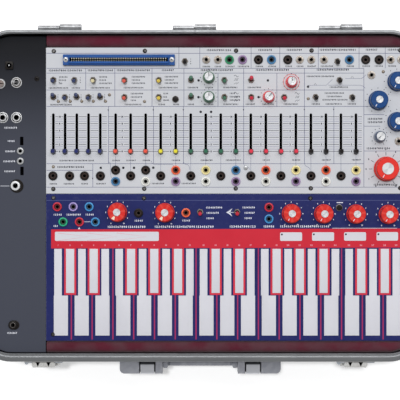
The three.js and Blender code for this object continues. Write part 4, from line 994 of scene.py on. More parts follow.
def buildSideFittings():
    bm = bmesh.new()
    steel, dark, black, bright, bronze, dull = range(6)
    x, y = phoneJacks[2]
    lathe(bm, place(x + 1.5 * mm, y - 0.3 * mm, face), [(8.2, -0.1), (8.2, 0.7), (7.8, 1), (5, 1)], 40, black)
    for spot in (place(*jack, face, turn=12) for jack in phoneJacks[:2]):
        lathe(bm, spot, [(6.6, 0), (6.6, 0.8), (6.3, 1), (5.9, 1), (5.8, 0.5)], 36, bright)
        lathe(bm, spot, [(5.8, 0.5), (5, 0.5)], 36, dark)
        hexNut(bm, spot @ place(z=0.5 * mm), 5.5, 1.2, 4.2, steel)
        barrelSocket(bm, spot, 4.5, 3.2, 2.4, 16, bright, dark)
    barrelSocket(bm, place(x, y, face + 0.3 * mm, turn=12), 5.9, 3.1, 2.4, 16, bright, dark)
    for jack in dataJacks:
        barrelSocket(bm, place(*jack, face), 4.4, 2.1, 2.2, 9, steel, dark)
    spot = place(*groundJack, face)
    lathe(bm, spot @ place(2 * mm), [(5.8, -0.1), (5.8, 0.6), (5.4, 0.8), (3, 0.8)], 32, black)
    barrelSocket(bm, spot, 5.6, 2, 2.4, 11, black, dark)
    lathe(bm, spot, [(3.3, 2.42), (3.15, 2.5), (2.8, 2.5), (2.7, 2.4)], 24, dull)
    # power inlet, fuse holder and the nut of the power switch
    x, y = sideShare(0.413, 0.908)
    half = 4.8 * mm
    prism(bm, roundedPlan(x - half, y - half, x + half, y + half, 1.4 * mm, 4), face - 0.2 * mm,
          face + 2.4 * mm, 0.5 * mm, black)
    spot = place(x, y, face)
    lathe(bm, spot, [(3.1, 2.42), (2.8, 2.5), (2.8, 2.44), (0, 2.43)], 28, dark)
    lathe(bm, spot, [(0.9, 2.4), (0.9, 2.62), (0, 2.8)], 14, steel)
    spot = place(*sideShare(0.27, 0.85), face)
    lathe(bm, spot, [(6.1, 0), (6.1, 1.1), (5.7, 1.5), (4.6, 1.6)], 32, steel)
    lathe(bm, spot, [(4.6, 1.4), (4.5, 2.9), (4, 3.3), (0, 3.4)], 24, bronze)
    slab(bm, spot, 6.8, 1, 3.2, 3.46, 0, dark)
    spot = place(*powerSwitch, face, turn=20)
    lathe(bm, spot, [(6.5, 0), (6.5, 0.5), (6.2, 0.8), (5.6, 0.8)], 36, bright)
    hexNut(bm, spot @ place(z=0.4 * mm), 5.9, 1.5, 3, dull)
    lathe(bm, spot, [(4, 1.8), (4, 2.6), (3.7, 2.8), (3.2, 2.6)], 28, bright)
    lathe(bm, spot, [(3.2, 2.6), (3, 1.8), (2.9, -1)], 24, dark)
    for x, y in (sideShare(0.613, 0.669), sideShare(0.617, 0.574)):
        wide, long = 2.05 * mm, 5.2 * mm
        prism(bm, roundedPlan(x - wide, y - long, x + wide, y + long, 0.6 * mm, 3), face - 0.2 * mm,
              face + 0.25 * mm, 0.1 * mm, dark)
        slab(bm, place(x, y, face), 3.1, 9.4, 0.2, 0.32, 0, dark)
    screwHead(bm, *onSide(36.5, 78.7), face, 3, black, dark, 35)
    looks = ["plainNickel", "shadowBlack", "blackPlastic", "turnedAlloy", "fuseBronze", "darkNickel"]
    finishPiece("side_panel_fittings", bm, looks)


buildSidePanel(sideLook)
buildSideFittings()
print("side panel is fitted")


# Sockets, nuts, screws and lamps that stay on the panels

socketLook = {"radius": 5.6, "bore": 2, "height": 2.4, "depth": 11, "miniRadius": 4.9}


def bananaSocket(bm, x, y, look, turn):
    spot = place(x, y, face, turn=turn)
    r, bore, high = look["radius"], look["bore"], look["height"]
    throat = bore + 0.3
    lathe(bm, spot, [(r, -0.1), (r, 0.7 * high), (r - 0.2, 0.9 * high), (r - 0.6, high), (r - 1.7, high),
                     (r - 1.9, 0.85 * high)], 32, 0)
    lathe(bm, spot, [(r - 1.9, 0.85 * high), (r - 2.2, 0.4 * high), (throat, 0.4 * high), (throat, -2)],
          32, 3)
    lathe(bm, spot, [(throat, 0.35 * high), (bore, 0.25 * high), (bore, -look["depth"])], 20, 1)
    lathe(bm, spot, [(throat, -2), (0, -2)], 20, 2)


def buildSockets(look):
    groups = {}
    for x, y, finish in bananas + boardBananas:
        groups.setdefault(finish, []).append((x, y))
    for finish, spots in groups.items():
        bm = bmesh.new()
        for i, (x, y) in enumerate(spots):
            bananaSocket(bm, x, y, look, 37 * i)
        # the ring down in the socket takes the plastic's darker copy as painted shade; black sockets take the
        # brown ring instead
        deep = "brownRing" if finish == "blackPlastic" else finish.replace("Plastic", "PaintedShade")
        looks = [finish, "darkNickel", "shadowBlack", deep]
        finishPiece("sockets_" + finish.replace("Plastic", ""), bm, looks)
    bm = bmesh.new()
    for i, (x, y) in enumerate(minis):
        spot = place(x, y, face, turn=23 * i)
        r = look["miniRadius"]
        lathe(bm, spot, [(r, -0.1), (r, 1.3), (r - 0.4, 1.8), (r - 1.5, 1.9)], 48, 0, ripple=0.025)
        barrelSocket(bm, spot, r - 1.5, 2.1, 2.4, 9)
    finishPiece("sockets_small", bm, ["warmNickel", "shadowBlack"])


def buildNuts():
    bm = bmesh.new()
    spots = [mainShare(along, up) for up, _, levers in toggleRows.values() for along in levers]
    up, _, levers = keyboardToggles
    spots += [boardShare(along, up) for along in levers]
    for i, (x, y) in enumerate(spots):
        spot = place(x, y, face, turn=17 * i)
        hexNut(bm, spot, 4.1, 1.5, 2.6)
        lathe(bm, spot, [(3.1, 1.4), (3.1, 2.2), (2.8, 2.5), (2.4, 2.4), (2.3, -1.5)], 24, 2)
    for x, y in buttonPlaces.values():
        lathe(bm, place(x, y, face), [(4.2, 0), (4.2, 0.3), (3.9, 0.42), (2.4, 0.42), (2.3, -2)], 28, 1)
    for spot, shape, *_ in knobs.values():
        inside = shape["shaft"] + 0.3
        lathe(bm, place(*spot, face), [(inside + 1.6, 0), (inside + 1.6, 0.4), (inside, 0.45), (inside, -3)],
              24, 1)
    finishPiece("switch_nuts", bm, ["bronzeNut", "darkNickel", "barrelNickel"])


# screws and small lamps, in pixels of the photograph
smallLook = {"mainScrews": [(px, 51.2) for px in (53.5, 144.6, 235.8, 311.3, 400)]
                           + [(px, 189.0) for px in (53, 143.9, 235.4, 310.5, 400)],
             "boardScrews": [(53.4, 198), (143.8, 198.5), (310.3, 199), (53, 334.5)],
             "lamps": [(px, 101.4) for px in (58, 69.9, 81.5, 93, 105.2)]
                      + [(109.2, 95), (144.2, 101.7), (308, 99.4), (383, 72.6), (53, 166.8)],
             "greyLamp": (245.3, 168.4)}


def buildScrewsAndLamps(look):
    bm = bmesh.new()
    spots = [onMain(*point) for point in look["mainScrews"]]
    spots += [onBoard(*point) for point in look["boardScrews"]]
    for i, (x, y) in enumerate(spots):
        screwHead(bm, x, y, face, 2.7, 0, 1, 31 * i)
    finishPiece("panel_screws", bm, ["blackOxide", "darkNickel"])
    bm = bmesh.new()
    lathe(bm, place(*onMain(*look["greyLamp"]), face),
          [(2.7, 0), (2.7, 0.9), (2.3, 1.3), (1.5, 1.4), (0, 1.9)], 24, 2)
    for point in look["lamps"]:
        spot = place(*onMain(*point), face)
        lathe(bm, spot, [(1.9, 0), (1.9, 0.5), (1.4, 0.7)], 20, 0)
        lathe(bm, spot, [(1.4, 0.5), (1.3, 1.1), (0.8, 1.6), (0, 1.8)], 20, 1)
    finishPiece("panel_lamps", bm, ["bronzeNut", "lampLens", "plainNickel"])


buildSockets(socketLook)
buildNuts()
buildScrewsAndLamps(smallLook)
print("sockets, nuts, screws and lamps are in place")


# Circuit board with its slide pots and round pots, under the white panel

boardLook = {"margin": 8, "drop": 18, "thick": 1.6, "pot": 14, "smallPot": -11, "largePot": -5,
             "slidePot": ((4.5, 3, -18), (4.5, 3, -2.4), (4.1, 2.6, -2), (2.45, 0, -2), (2.45, 0, -13.8))}


def buildCircuitBoard(look):
    bm = bmesh.new()
    margin, drop = look["margin"] * mm, look["drop"]
    top = under - drop * mm
    box(bm, (panelLow.x + margin, panelLow.y + margin, top - look["thick"] * mm),
        (panelHigh.x - margin, panelHigh.y - margin, top), 0.2 * mm)
    for x in closeXs + wideXs:
        rings = []
        for wide, more, level in look["slidePot"]:
            plan = rectangle(2 * wide * mm, (sliderPlan["slotLength"] + 2 * more) * mm, x, slotMiddle)
            rings.append([Vector((*point, under + level * mm)) for point in plan])
        loft(bm, rings, 1)
    for spot, shape, *_ in mainKnobs:
        high = look["smallPot" if shape is smallShape else "largePot"]
        slab(bm, place(*spot, under), look["pot"], look["pot"], -drop, high, 0.8, 2)
    finishPiece("circuit_board", bm, ["greenBoard", "shadowBlack", "darkNickel"],
                replaces=["main_circuit_board"])


buildCircuitBoard(boardLook)
print("circuit board is loaded")


# Slide controls: moulded cap, stem and carriage

sliderLook = {"foot": 6, "top": 4.4, "capLow": 1, "capHigh": 10, "round": 0.42, "stem": (1.8, 3.2),
              "carriage": (4.4, 7, 5), "carriageTop": -10.7, "bar": (1.6, -3.6, -2.4),
              "cap": ((0, 0.94), (0.05, 1.0), (0.16, 1.0), (0.28, 0.86), (0.4, 0.8), (0.93, 0.74), (1, 0.6)),
              "colours": (("orange", "vermilionPlastic", 3), ("yellow", "yellowPlastic", 2),
                          ("green", "greenPlastic", 4), ("crimson", "crimsonPlastic", 4),
                          ("black", "blackPlastic", 4))}


def sliderShape(bm, x, look):
    low, high, foot = look["capLow"], look["capHigh"], look["carriageTop"]
    rings = []
    for share, width in look["cap"]:
        half = look["foot"] * width / 2 * mm
        plan = roundedPlan(x - half, -half, x + half, half, look["round"] * (1 + share) * half, 4)
        rings.append([Vector((*point, (low + share * (high - low)) * mm)) for point in plan])
    # index 2 is the darker copy of the cap's plastic: painted shade on the cap's lower part; the ridge on top
    # takes the same copy
    loft(bm, rings[:5], 2)
    loft(bm, rings[4:], 0)
    slab(bm, place(x), look["top"] * 0.7, 0.7, high - 0.5, high - 0.02, 0.1, 2)
    slab(bm, place(x), *look["stem"], foot, low + 0.5, 0, 1)
    wide, long, tall = look["carriage"]
    slab(bm, place(x), wide, long, foot - tall, foot, 0.4, 1)


def buildSliders(look):
    plans = [("sliders_blue", closeXs, "navyPlastic", "blue_plastic")]
    places = iter(wideXs)
    for colour, finish, count in look["colours"]:
        for i in range(count):
            plans.append((f"slider_{colour}_{i + 1}", [next(places)], finish, colour + "_plastic"))
    deep, low, high = (value * mm for value in look["bar"])
    for name, xs, cap, slot in plans:
        bm = bmesh.new()
        for x in xs:
            sliderShape(bm, x - xs[0], look)
        if len(xs) > 1:
            box(bm, (0, -deep, low), (xs[-1] - xs[0], deep, high), 0, 1)
        # the third finish is the darker copy of the cap's plastic, painted shade
        finishPiece(name + "_control", bm, [cap, "blackPlastic", cap.replace("Plastic", "PaintedShade")], body=name,
                    replaces=[name], at=(xs[0], sliderY, face))


buildSliders(sliderLook)
print("slide controls are in")


# Knobs: fluted moulding with a spun metal cap and a pointer line

def buildKnob(name, spot, look, finish, slot, heading):
    bm = bmesh.new()
    skirt, body, cap = (look[key] for key in ("skirt", "body", "cap"))
    low = 0.6
    step, top = low + look["skirtHeight"], low + look["height"]
    crown = top + look["capLift"]
    small = look is smallShape
    lathe(bm, Matrix(), [(skirt - 0.4, low), (skirt, low + 0.4), (skirt, step - 0.7), (skirt - 0.5, step),
                         (body - 0.2, step + 0.1)], 48, 4 if small else 0)
    lathe(bm, Matrix(), [(body, step), (body * 0.985, step + 0.8), (body * 0.955, top - 1.2)],
          48 if small else 72, 0, ripple=0.022)
    lathe(bm, Matrix(), [(body * 0.955, top - 1.25), (body * 0.93, top - 0.5), (body * 0.88, top),
                         (cap + 0.35, top), (cap + 0.1, top - 0.3)], 48, 0)
    lathe(bm, Matrix(), [(cap + 0.1, top - 0.3), (cap, crown - 0.3), (cap - 0.3, crown),
                         (0.3 * cap, crown - 0.12), (0, crown - 0.15)], 40, 1)
    lathe(bm, Matrix(), [(look["shaft"], look["shaftFoot"]), (look["shaft"], low + 1)], 20, 3)
    aim = place(turn=heading)
    if small:
        slab(bm, aim @ place((cap - 0.2) / 2 * mm), cap - 0.2, 0.7, top, crown + 0.04, 0, 2)
    elif name in ("knob_keyboard_1", "knob_keyboard_2"):
        wedge = ((0.5 * body, -0.9), (0.87 * body, -2.1), (0.87 * body, 2.1), (0.5 * body, 0.9))
        prism(bm, [(x * mm, y * mm) for x, y in wedge], (top - 0.3) * mm, (top + 0.06) * mm, 0, 5, aim)
    else:
        slab(bm, aim @ place(0.735 * body * mm), 0.27 * body, 0.8, top - 0.3, top + 0.08, 0, 2)
    looks = [finish, "turnedAlloy", "blackInk" if small else "whiteInk", "darkNickel",
             finish.replace("Plastic", "Skirt") if small else finish, "wedgeCream"]
    finishPiece(name + "_turned", bm, looks, body=name, replaces=[name], at=(*spot, face))


for name, item in knobs.items():
    buildKnob(name, item[0], *item[1:])
print("knobs are on their shafts")


# Toggle levers, each row riding on its link

toggleLook = {"pivotDrop": 1, "length": 12.5, "tilt": 11, "link": (0.8, 9, 5), "topLink": (0.8, -7, 9)}


def leverShape(bm, spot, top, sleeve=None):
    lathe(bm, spot, [(0, -2), (1.7, -1.4), (2.1, 0), (1.3, 1.6), (1.15, 3), (1.3, 5), (1.6, top - 3),
                     (1.7, top - 1), (1.2, top - 0.3), (0, top - 0.1)], 20)
    if sleeve:
        lathe(bm, spot, [(1.5, 4.8), (1.95, 4.9), (2.3, top - 3), (2.35, top - 1.2), (1.8, top - 0.25),
                         (0.9, top), (0, top)], 24, sleeve)


def buildToggles(look):
    rows = {name: (mainShare, *row) for name, row in toggleRows.items()}
    rows["toggles_keyboard"] = (boardShare, *keyboardToggles)
    level = face - look["pivotDrop"] * mm
    for name, (share, up, lean, levers) in rows.items():
        half, reach, drop = (value * mm for value in look["topLink" if name == "toggles_top" else "link"])
        colours = sorted(set(levers.values()))
        first = share(min(levers), up)
        end, low, high = -lean * reach, -drop - half, half - drop
        bm = bmesh.new()
        for along, finish in levers.items():
            x = share(along, up)[0] - first[0]
            leverShape(bm, place(x, tiltX=-lean * look["tilt"]), look["length"], colours.index(finish) + 1)
            box(bm, (x - half, -half, low), (x + half, half, 0), 0.1 * mm)
            box(bm, (x - half, min(-half, end), low), (x + half, max(half, end), high), 0.1 * mm)
        if len(levers) > 1:
            span = share(max(levers), up)[0] - first[0]
            box(bm, (-half, end - half, low), (span + half, end + half, high), 0.1 * mm)
        finishPiece(name + "_levers", bm, ["darkNickel"] + colours, body=name, replaces=[name],
                    at=(*first, level))
    bm = bmesh.new()
    leverShape(bm, place(tiltY=-look["tilt"]), look["length"])
    finishPiece("power_switch_bat", bm, "plainNickel", body="power_switch_lever",
                replaces=["power_switch_lever"], at=(*powerSwitch, level))


def buildButtons():
    for name, spot in buttonPlaces.items():
        bm = bmesh.new()
        lathe(bm, Matrix(), [(0, -9), (1.8, -9), (1.8, 2), (3.2, 2), (3.4, 2.2), (3.4, 3.8), (3, 4.35),
                             (1.8, 4.55), (0, 4.6)], 36)
        finishPiece(name + "_cap", bm, "blackPlastic", body=name, replaces=[name],
                    at=(*spot, face))


buildToggles(toggleLook)
buildButtons()
print("switches and buttons are in")


# Long connector for a plug-in card

cardLook = {"slot": (120, 4.4, 6.5), "contacts": 41, "ear": 7, "screwAt": 3.6, "postAt": (8.6, 3.4)}
cardLow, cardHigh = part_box("card_connector")


def buildCard(look):
    bm = bmesh.new()
    x, y, top = (cardLow.x + cardHigh.x) / 2, (cardLow.y + cardHigh.y) / 2, cardHigh.z
    length, width = (cardHigh.x - cardLow.x) / 2 / mm, (cardHigh.y - cardLow.y) / 2 / mm
    slotLength, slotWidth, depth = look["slot"]
    slotHalf, ear, contacts = slotLength / 2, length - look["ear"], look["contacts"]
    spot = place(x, y, top)
    rings = []
    for wide, deep, level in (
            (length, width, (face - top) / mm), (length, width, -3.2), (length - 0.4, width - 0.4, -2.8),
            (ear, width - 1.2, -2.7), (ear - 0.3, width - 1.6, -0.3), (ear - 0.6, width - 1.9, 0),
            (slotHalf, slotWidth / 2 + 0.4, 0), (slotHalf - 0.3, slotWidth / 2, -0.5),
            (slotHalf - 0.3, slotWidth / 2, -depth)):
        plan = roundedPlan(-wide, -deep, wide, deep, 0.3, 2)
        rings.append([spot @ (Vector((*point, level)) * mm) for point in plan])
    loft(bm, rings)
    slab(bm, spot, slotLength - 1, slotWidth - 0.04, -depth, -1.6, 0, 2)
    for i in range(contacts):
        at = (i + 0.5 - contacts / 2) * (slotLength - 3) / contacts * mm
        for lift, reach in ((0.26, 1.7), (-0.38, 0.8)):
            slab(bm, spot @ place(at, lift * slotWidth * mm, -0.9 * mm), 0.9, reach, -1.6, 0.4, 0.15, 1)
    postX, postY = look["postAt"]
    for way in (1, -1):
        screwHead(bm, x + way * (length - look["screwAt"]) * mm, y, top - 2.8 * mm, 3.1, 3, 2, 25)
        for side in (1, -1):
            slab(bm, spot @ place(way * (length - postX) * mm, side * postY * mm), 2.8, 1.8, -2.6, -0.2, 0.3)
    finishPiece("card_connector_body", bm, ["connectorPlastic", "contactSteel", "shadowBlack", "nickel"],
                replaces=["card_connector"])


buildCard(cardLook)


# Carrying handle, latches and hinges

handleLook = {"bracketWidth": 53, "bracketGap": 93, "chamfer": 6, "inset": 0.5, "edge": 2.6,
              "core": (9.1, 28.3), "strap": (10.3, 27.1), "rivetAt": (10, 7), "pinAt": 6.5, "pin": 2.4,
              "gripArm": 6, "gripHeight": 12, "gripBend": 5.5, "ribs": 13, "ribPitch": 4.6,
              # the strap's bow: share of its way to the wall, then its drop
              "bow": [(0, 5), (0.06, 3.4), (0.16, 2.2), (0.3, 1.1), (0.46, 0.3), (0.6, 0), (0.72, 0.25),
                      (0.84, 1), (0.94, 2.1), (1, 3.2)]}
gripCorner = [(0.55, 1), (0.9, 0.8), (1, 0.45)]
handleLow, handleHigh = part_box("handle_base")
gripLow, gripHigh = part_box("handle_grip")


def buildBrackets(look):
    bm = bmesh.new()
    gap, wide, chamfer, room = (look[key] * mm for key in ("bracketGap", "bracketWidth", "chamfer", "inset"))
    wall, front = handleHigh.y, handleLow.y + room
    low, high = handleLow.z + room, handleHigh.z - room
    back = wall - 0.5 * mm
    box(bm, (handleLow.x, wall - 1.5 * mm, handleLow.z), (handleHigh.x, wall, handleHigh.z), 0.4 * mm)
    for side in (-1, 1):
        inner, outer = side * gap / 2, side * (gap / 2 + wide)
        near, far = (inner + side * end * mm for end in look["core"])
        bend = []
        for degrees in range(0, 91, 15):
            angle = math.radians(degrees)
            aside, forward = 1 - math.sin(angle), 1 - math.cos(angle)
            bend.append((outer - side * chamfer * aside, front + chamfer * forward))
        for outline in ([(inner, back), (inner, front), (near, front), (near, back)],
                        [(far, back), (far, front), *bend, (outer, back)]):
            prism(bm, outline[::side], low, high, look["edge"] * mm, foot=True)
        x0, x1 = sorted(inner + side * end * mm for end in look["strap"])
        box(bm, (x0 - 1.3 * mm, front + 2 * mm, low + 3 * mm), (x1 + 1.3 * mm, back, high - 5.5 * mm), 0, 2)
        y0, y1 = handleLow.y, wall - 2.2 * mm
        strap = [(y0, low + 3 * mm)]
        strap += [(y0 + share * (y1 - y0), handleHigh.z - drop * mm) for share, drop in look["bow"]]
        strap += [(y1 - 1 * mm, high - 5 * mm), (y0 + 1.5 * mm, high - 6 * mm), (y0 + 1.5 * mm, low + 3 * mm)]
        loft(bm, [[Vector((x, y, z)) for y, z in strap] for x in (x0, x1)], 1)
        along, up = (value * mm for value in look["rivetAt"])
        for z in (low + up, high - up):
            spot = place(outer - side * along, front, z, tiltX=90)
            lathe(bm, spot, [(2.4, -0.5), (2.3, 0.25), (0, 0.45)], 18, 1)
    finishPiece("handle_brackets", bm, ["handleGrey", "strapGloss", "shadowBlack"],
                replaces=["handle_base"])


def rod(bm, spot, radius, length, sides, index):
    lathe(bm, spot, [(0, 0), (radius, 0), (radius, length), (0, length)], sides, index)


def buildGrip(look):
    bm = bmesh.new()
    arm, tall, bend = (look[key] * mm for key in ("gripArm", "gripHeight", "gripBend"))
    middle, thick = (gripLow.y + gripHigh.y) / 2, (gripHigh.y - gripLow.y) / 2
    half = (look["bracketGap"] - 0.6) / 2 * mm
    left = arm / 2 - half
    path = [(left, gripHigh.z - 4 * mm), (left, gripLow.z + tall)]
    for degrees in (30, 60, 90):
        angle = math.radians(degrees)
        path.append((left + bend * (1 - math.cos(angle)), gripLow.z + tall - bend * math.sin(angle)))
    path += [(-x, z) for x, z in reversed(path)]
    section = gripCorner + [(a, -b) for a, b in reversed(gripCorner)]
    section += [(-a, -b) for a, b in gripCorner] + [(-a, b) for a, b in reversed(gripCorner)]
    rings = []
    for i, (x, z) in enumerate(path):
        before, after = Vector(path[max(i - 1, 0)]), Vector(path[min(i + 1, len(path) - 1)])
        along = (after - before).normalized()
        level = abs(along.x)
        reach = (arm * (1 - level) + tall * level) / 2 - 0.1 * mm
        rings.append([Vector((x + along.y * reach * a, middle + thick * b, z - along.x * reach * a))
                      for a, b in section])
    loft(bm, rings)
    for i in range(look["ribs"]):
        x = (i - (look["ribs"] - 1) / 2) * look["ribPitch"] * mm
        slab(bm, place(x, middle, gripLow.z + tall / 2), 1.6, 1.96 * thick / mm, -4.6, 4.6, 0.3, 1)
    level = gripHigh.z - look["pinAt"] * mm
    for side in (-1, 1):
        start = min(side * (half - arm / 2), side * (half + 9 * mm))
        rod(bm, place(start, middle, level, tiltY=90), look["pin"], look["gripArm"] / 2 + 9, 20, 2)
        eye = place(side * (half - arm / 2) - arm / 2, middle, level, tiltY=90)
        wide, long = thick / mm, look["gripArm"]
        lathe(bm, eye, [(0, 0), (3.2, 0), (wide, 0.4), (wide, long - 0.4), (3.2, long), (0, long)], 24, 0)
    finishPiece("handle_grip_bail", bm, ["handleGrey", "blackPlastic", "strapSteel"], body="handle_grip",
                replaces=["handle_grip"])


latchLook = {"plate": 1.4, "earAt": 13.8, "ear": (3, 14), "rivets": (5, 11), "pinReach": 15.9, "pin": 1.4,
             # the blade's sections along its width, and the mouths laid on its top as thin black sheets of
             # painted shade
             "sections": ((-13.4, 0.86), (-13, 1), (-10, 1), (-9.6, 0.94), (9.2, 0.94), (9.6, 1), (13, 1),
                          (13.4, 0.86)),
             "mouthShadows": ((-9.2, -4.4), (3.6, 8.6))}


def buildLatchPlate(side, look):
    low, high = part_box(f"latch_base_{side}")
    middle = (low.x + high.x) / 2
    bm = bmesh.new()
    box(bm, (low.x, high.y - look["plate"] * mm, low.z), (high.x, high.y, high.z), 0.3 * mm)
    earWidth, earHeight = (value * mm for value in look["ear"])
    for way, edge in ((-1, low.x), (1, high.x)):
        near = middle + way * look["earAt"] * mm
        x0, x1 = sorted((near, near + way * earWidth))
        box(bm, (x0, low.y, low.z), (x1, high.y, low.z + earHeight), 0.5 * mm)
        x0, x1 = sorted((near + way * 0.2 * mm, edge))
        box(bm, (x0, high.y - 2.8 * mm, high.z - 12 * mm), (x1, high.y - 1.2 * mm, high.z - 0.4 * mm),
            0.4 * mm, 1)
        for up in look["rivets"]:
            spot = place(edge - way * 2.6 * mm, high.y - 1.3 * mm, low.z + up * mm, tiltX=90)
            lathe(bm, spot, [(1.9, 0), (1.7, 0.7), (0, 1.1)], 16, 1)
    lug = place(low.x + 2.4 * mm, high.y - 2.6 * mm, high.z - 5 * mm)
    lathe(bm, lug, [(2.3, 0), (2.3, 4), (1.8, 4.7), (0, 4.9)], 24, 1)
    finishPiece(f"latch_plate_{side}", bm, ["latchNickel", "strapSteel"],
                replaces=[f"latch_base_{side}"])
    return middle


def buildLatchBlade(side, middle, look):
    low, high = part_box(f"latch_lever_{side}")
    bm = bmesh.new()
    half, y, tall = (high.y - low.y) / 2, (high.y + low.y) / 2, high.z - low.z
    outline = [(-half, half), (-half, tall - 2 * mm), (-half * 0.8, tall - 0.4 * mm), (-half * 0.6, tall),
               (half * 0.95, tall), (half, half), (half * 0.7, half * 0.3), (0, 0), (-half * 0.7, half * 0.3)]
    loft(bm, [[Vector((middle + x * mm, y + py * grow, low.z + pz)) for py, pz in outline]
              for x, grow in look["sections"]])
    # each mouth is a thin black triangle on the top: painted shade standing in for an opening
    for x0, x1 in look["mouthShadows"]:
        mouthShadow = [(x0 * mm, half * 0.9), ((x0 + x1) / 2 * mm, -half * 0.6), (x1 * mm, half * 0.9)]
        prism(bm, mouthShadow, -0.4 * mm, 0.04 * mm, 0, 2, place(middle, y, high.z))
    reach = look["pinReach"]
    rod(bm, place(middle - reach * mm, y, low.z + half, tiltY=90), look["pin"], 2 * reach, 16, 1)
    finishPiece(f"latch_blade_{side}", bm, ["latchNickel", "darkNickel", "shadowBlack"],
                body=f"latch_lever_{side}", replaces=[f"latch_lever_{side}"])


hingeLook = {"plate": (1.6, 2.5), "slimShare": 0.8, "gap": 0.2, "rivets": 4, "rivetAt": (7, 13),
             "rivetUp": (11, 5.5)}


def buildHinge(side, look):
    low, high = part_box(f"hinge_{side}")
    middle = (low.x + high.x) / 2
    bm = bmesh.new()
    thick, drop = look["plate"]
    box(bm, (low.x, low.y, low.z), (high.x, low.y + thick * mm, high.z - drop * mm), 0.3 * mm)
    fat = (high.y - low.y) / 2 / mm
    slim, gap = fat * look["slimShare"], look["gap"] * mm
    level = high.z - fat * mm
    for x0, x1, r in ((low.x, middle - gap, slim), (middle + gap, high.x, fat)):
        span = (x1 - x0) / mm
        lathe(bm, place(x0, low.y + r * mm, level, tiltY=90), [
            (0, 0), (r - 0.4, 0), (r, 0.4), (r, span - 0.4), (r - 0.4, span), (0, span)], 28, 1)
    lathe(bm, place(middle - 3 * mm, low.y + slim * mm, level, tiltY=90), [(1.4, 0), (1.4, 6)], 16, 2)
    start, pitch = look["rivetAt"]
    for i in range(look["rivets"]):
        spot = place(low.x + (start + pitch * i) * mm, low.y + 1.5 * mm, low.z + look["rivetUp"][i % 2] * mm,
                     tiltX=-90)
        lathe(bm, spot, [(2.1, 0), (1.9, 0.7), (1, 1.2), (0, 1.3)], 18, 1)
    finishPiece(f"hinge_{side}_half", bm, ["nickel", "hingeAlloy", "darkNickel"],
                replaces=[f"hinge_{side}"])


buildBrackets(handleLook)
buildGrip(handleLook)
for side in ("left", "right"):
    buildLatchBlade(side, buildLatchPlate(side, latchLook), latchLook)
for side in ("left", "middle", "right"):
    buildHinge(side, hingeLook)
print("handle, latches and hinges are fitted")


# Printed lines, scales and plain numbers

